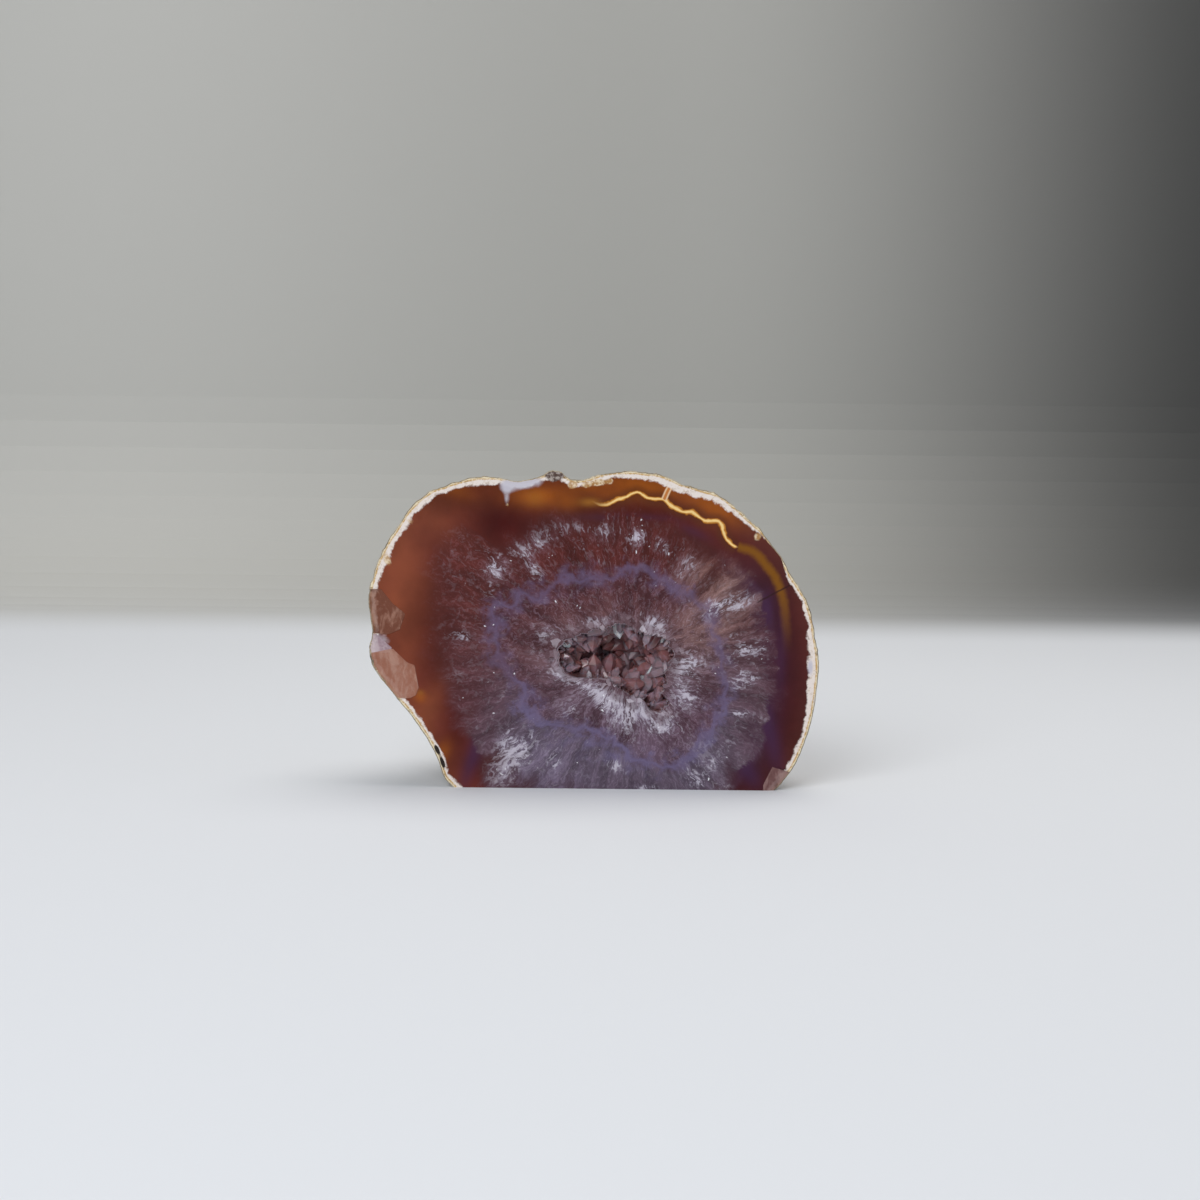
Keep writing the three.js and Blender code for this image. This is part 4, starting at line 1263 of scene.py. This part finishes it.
def make_druse(material, sizes):
    """The lining and its quartz points as one plain mesh that ends behind the face."""
    lining = lining_object(sizes.gap / MM, sizes.thickness / MM)
    scatterer = lining.modifiers.new("Quartz points", "NODES")
    scatterer.node_group = crystal_points_tree(material)
    values = {
        "Density": sizes.density, "Spacing": sizes.spacing, "Smallest": sizes.smallest,
        "Largest": sizes.largest, "Lean": sizes.lean, "Seed": sizes.seed,
    }
    for socket in scatterer.node_group.interface.items_tree:
        if socket.in_out == "INPUT" and socket.name in values:
            scatterer[socket.identifier] = values[socket.name]
    bare = len(lining.data.polygons)
    evaluated = lining.evaluated_get(bpy.context.evaluated_depsgraph_get())
    mesh = bpy.data.meshes.new_from_object(evaluated)
    if len(mesh.polygons) <= bare:
        raise RuntimeError("no quartz points grew on the hollow's lining")
    lining.modifiers.clear()
    bpy.data.objects.remove(lining)
    item = bpy.data.objects.new("druse_quartz", mesh)
    bpy.context.scene.collection.objects.link(item)
    points = np.empty(len(mesh.vertices) * 3)
    mesh.vertices.foreach_get("co", points)
    points = points.reshape(-1, 3)
    points[:, 1] = np.maximum(points[:, 1], STONE_BOX[0][1] + POINTS_SETBACK * MM)
    mesh.vertices.foreach_set("co", points.ravel())
    mesh.update()
    return item


# Settings and operators

def colour_property(name, description, colour):
    return bpy.props.FloatVectorProperty(
        name=name, description=description, subtype="COLOR", size=4, min=0.0, max=1.0, default=colour)


def length_property(name, description, metres):
    return bpy.props.FloatProperty(
        name=name, description=description, subtype="DISTANCE", unit="LENGTH", min=0.0, precision=5,
        default=metres)


def power_property(name, description, watts):
    return bpy.props.FloatProperty(
        name=name, description=description, unit="POWER", min=0.0, default=watts)


class GeodeStoneSettings(bpy.types.PropertyGroup):
    rind_width: length_property("Rind width", "Width of the pale rind on the polished face", 0.00098)
    edge_rounding: length_property("Edge rounding", "Rounded edge of the polished face", 0.00014)
    carnelian: colour_property("Carnelian", "Warm agate at the left of the face", shade(132, 68, 44))
    maroon: colour_property("Maroon", "Darkest agate", shade(66, 11, 7))
    # painted glow: amber agate lit from behind where it is thin under the rind
    amber_glow: colour_property("Amber", "Agate that light shines through under the rind", shade(152, 80, 24))
    violet: colour_property("Violet", "Agate just outside the crystals", shade(66, 38, 70))
    lavender: colour_property("Lavender", "Ring between the two growths of quartz", shade(108, 94, 126))
    wisp: colour_property("Wisps", "Cloudy threads in the quartz", shade(192, 184, 196))
    milk: colour_property("Milk quartz", "White patches along the rind", shade(196, 192, 202))
    skin: colour_property("Skin", "Weathered outside of the nodule", shade(172, 152, 122))


class GeodeDruseSettings(bpy.types.PropertyGroup):
    gap: length_property("Gap", "Clearance between the lining and the hollow's wall", 0.00003)
    thickness: length_property("Lining", "Depth of the lining that the points grow on", 0.0009)
    spacing: length_property("Spacing", "Least distance between two points' roots", 0.00045)
    smallest: length_property("Smallest", "Radius of the smallest points", 0.0003)
    largest: length_property("Largest", "Radius of the largest points", 0.00135)
    density: bpy.props.FloatProperty(
        name="Density", description="Points for each square metre before they are thinned out",
        default=4.4e6, min=0.0)
    lean: bpy.props.FloatProperty(
        name="Lean", description="Largest tilt of a point away from the wall", default=0.55, min=0.0,
        subtype="ANGLE")
    seed: bpy.props.IntProperty(
        name="Seed", description="Picks another arrangement of the points", default=7, min=0)
    druse: colour_property("Druse", "Quartz points in the hollow", shade(134, 92, 94))


class GeodeStageSettings(bpy.types.PropertyGroup):
    camera_distance: length_property("Camera distance", "From the camera to the polished face", 0.42)
    camera_lens: bpy.props.FloatProperty(
        name="Camera lens", description="Focal length in millimetres on a 36 mm sensor", default=87.5,
        min=1.0)
    floor: colour_property("Floor", "Studio floor", shade(224, 226, 230))
    wall: colour_property("Backdrop", "Left and middle of the backdrop", shade(168, 167, 162))
    wall_shade: colour_property("Backdrop in shade", "Right side of the backdrop", shade(64, 64, 63))
    key_power: power_property("Key light", "Power of the light from the upper right", 1.7)
    fill_power: power_property("Fill light", "Power of the light beside the camera", 4.2)


class GEODE_OT_stone(bpy.types.Operator):
    """Make the polished agate with its rind, skin and foot"""
    bl_idname = "geode.stone"
    bl_label = "Polished Agate"

    def execute(self, context):
        settings = context.scene.geode_stone
        groups = {"growth": quartz_growth_group(), "rind": rind_group()}
        stone = make_stone(settings)
        surfaces = {
            "face": polished_agate_material(groups, settings),
            "skin": weathered_skin_material(settings),
            "hollow": druse_material(context.scene.geode_druse),
            "foot": sawn_foot_material(),
        }
        for name in SURFACES:
            stone.data.materials.append(surfaces[name])
        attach(stone, "root")
        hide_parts("agate_stone")
        return {"FINISHED"}


class GEODE_OT_druse(bpy.types.Operator):
    """Make the quartz points that line the hollow"""
    bl_idname = "geode.druse"
    bl_label = "Druse Quartz"

    def execute(self, context):
        settings = context.scene.geode_druse
        druse = make_druse(druse_material(settings), settings)
        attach(druse, "root")
        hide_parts("quartz_crust")
        return {"FINISHED"}


def studio_sweep():
    """A floor that curves up into a backdrop."""
    profile = [(SWEEP_FRONT, 0.0)]
    for step in range(SWEEP_STEPS + 1):
        angle = step / SWEEP_STEPS * math.pi / 2
        profile.append((SWEEP_TURN + SWEEP_RADIUS * math.sin(angle), SWEEP_RADIUS * (1 - math.cos(angle))))
    profile.append((SWEEP_TURN + SWEEP_RADIUS, SWEEP_HEIGHT))
    vertices = [(side * SWEEP_HALF_WIDTH, y, z) for y, z in profile for side in (-1, 1)]
    faces = [(2 * i, 2 * i + 1, 2 * i + 3, 2 * i + 2) for i in range(len(profile) - 1)]
    return new_mesh_object("studio_sweep", vertices, faces)


def studio_material(floor, wall, wall_shade):
    """Pale floor paper that turns grey up the backdrop, with painted light that makes it lighter at its
    left and painted shade that makes it darker to its right.
    """
    material, graph = new_material("Studio paper")
    place = graph.axes(graph.out("ShaderNodeTexCoord", output="Object"))
    # painted light at the backdrop's left and painted shade at its right
    bright = graph.mix(graph.fade(place["X"], -0.14, 0.02), shade(190, 189, 184), wall)
    backdrop = graph.mix(graph.fade(place["X"], 0.02, 0.17), bright, wall_shade)
    rise = graph.fade(place["Y"], 0.2, 0.29)
    close_material(graph, {"Base Color": graph.mix(rise, floor, backdrop), "Roughness": 0.9})
    return material


def add_area_light(name, light, power):
    data = bpy.data.lights.new(name, "AREA")
    data.shape = "DISK"
    data.size = LIGHT_SIZE
    data.energy = power
    data.color = light["colour"]
    lamp = bpy.data.objects.new(name, data)
    lamp.location = light["place"]
    aim = Vector(LIGHT_TARGET) - Vector(light["place"])
    lamp.rotation_euler = aim.to_track_quat("-Z", "Y").to_euler()
    bpy.context.scene.collection.objects.link(lamp)


def add_camera(distance, lens):
    """The camera at the photograph's angle: a little above the stone, tipped down and slightly rolled."""
    pitch, roll = math.radians(CAMERA_PITCH), math.radians(CAMERA_ROLL)
    forward = Vector((0, math.cos(pitch), -math.sin(pitch)))
    level = Vector((1, 0, 0))
    upright = level.cross(forward)
    right = level * math.cos(roll) + upright * math.sin(roll)
    up = upright * math.cos(roll) - level * math.sin(roll)
    data = bpy.data.cameras.new("Camera")
    data.lens = lens
    data.sensor_width = SENSOR
    camera = bpy.data.objects.new("Camera", data)
    turn = Matrix((right, up, -forward)).transposed().to_4x4()
    place = (CAMERA_SIDE, STONE_BOX[0][1] - distance, CAMERA_HEIGHT)
    camera.matrix_world = Matrix.Translation(place) @ turn
    bpy.context.scene.collection.objects.link(camera)
    bpy.context.scene.camera = camera


class GEODE_OT_stage(bpy.types.Operator):
    """Set up the floor, the lights and the camera"""
    bl_idname = "geode.stage"
    bl_label = "Studio Stage"

    def execute(self, context):
        settings = context.scene.geode_stage
        sweep = studio_sweep()
        sweep.data.materials.append(studio_material(settings.floor, settings.wall, settings.wall_shade))
        add_area_light("Key", KEY_LIGHT, settings.key_power)
        add_area_light("Fill", FILL_LIGHT, settings.fill_power)
        world = bpy.data.worlds.new("Studio")
        world.use_nodes = True
        background = world.node_tree.nodes["Background"]
        background.inputs["Color"].default_value = shade(226, 230, 236)
        background.inputs["Strength"].default_value = SKY_STRENGTH
        context.scene.world = world
        context.scene.view_settings.view_transform = "Standard"
        add_camera(settings.camera_distance, settings.camera_lens)
        if not sweep.data.polygons:
            raise RuntimeError("the studio sweep has no faces")
        return {"FINISHED"}


class GEODE_PT_panel(bpy.types.Panel):
    bl_label = "Agate Geode"
    bl_idname = "GEODE_PT_panel"
    bl_space_type = "VIEW_3D"
    bl_region_type = "UI"
    bl_category = "Geode"

    def draw(self, context):
        for name, settings, operator in SECTIONS:
            for size in settings.__annotations__:
                self.layout.prop(getattr(context.scene, name), size)
            self.layout.operator(operator.bl_idname)


SECTIONS = (
    ("geode_stone", GeodeStoneSettings, GEODE_OT_stone),
    ("geode_druse", GeodeDruseSettings, GEODE_OT_druse),
    ("geode_stage", GeodeStageSettings, GEODE_OT_stage),
)


def register():
    for name, settings, operator in SECTIONS:
        bpy.utils.register_class(settings)
        setattr(bpy.types.Scene, name, bpy.props.PointerProperty(type=settings))
        bpy.utils.register_class(operator)
    bpy.utils.register_class(GEODE_PT_panel)


def unregister():
    bpy.utils.unregister_class(GEODE_PT_panel)
    for name, settings, operator in reversed(SECTIONS):
        bpy.utils.unregister_class(operator)
        delattr(bpy.types.Scene, name)
        bpy.utils.unregister_class(settings)


def main():
    register()
    bpy.ops.geode.stone()
    bpy.ops.geode.druse()
    bpy.ops.geode.stage()


if __name__ == "__main__":
    main()
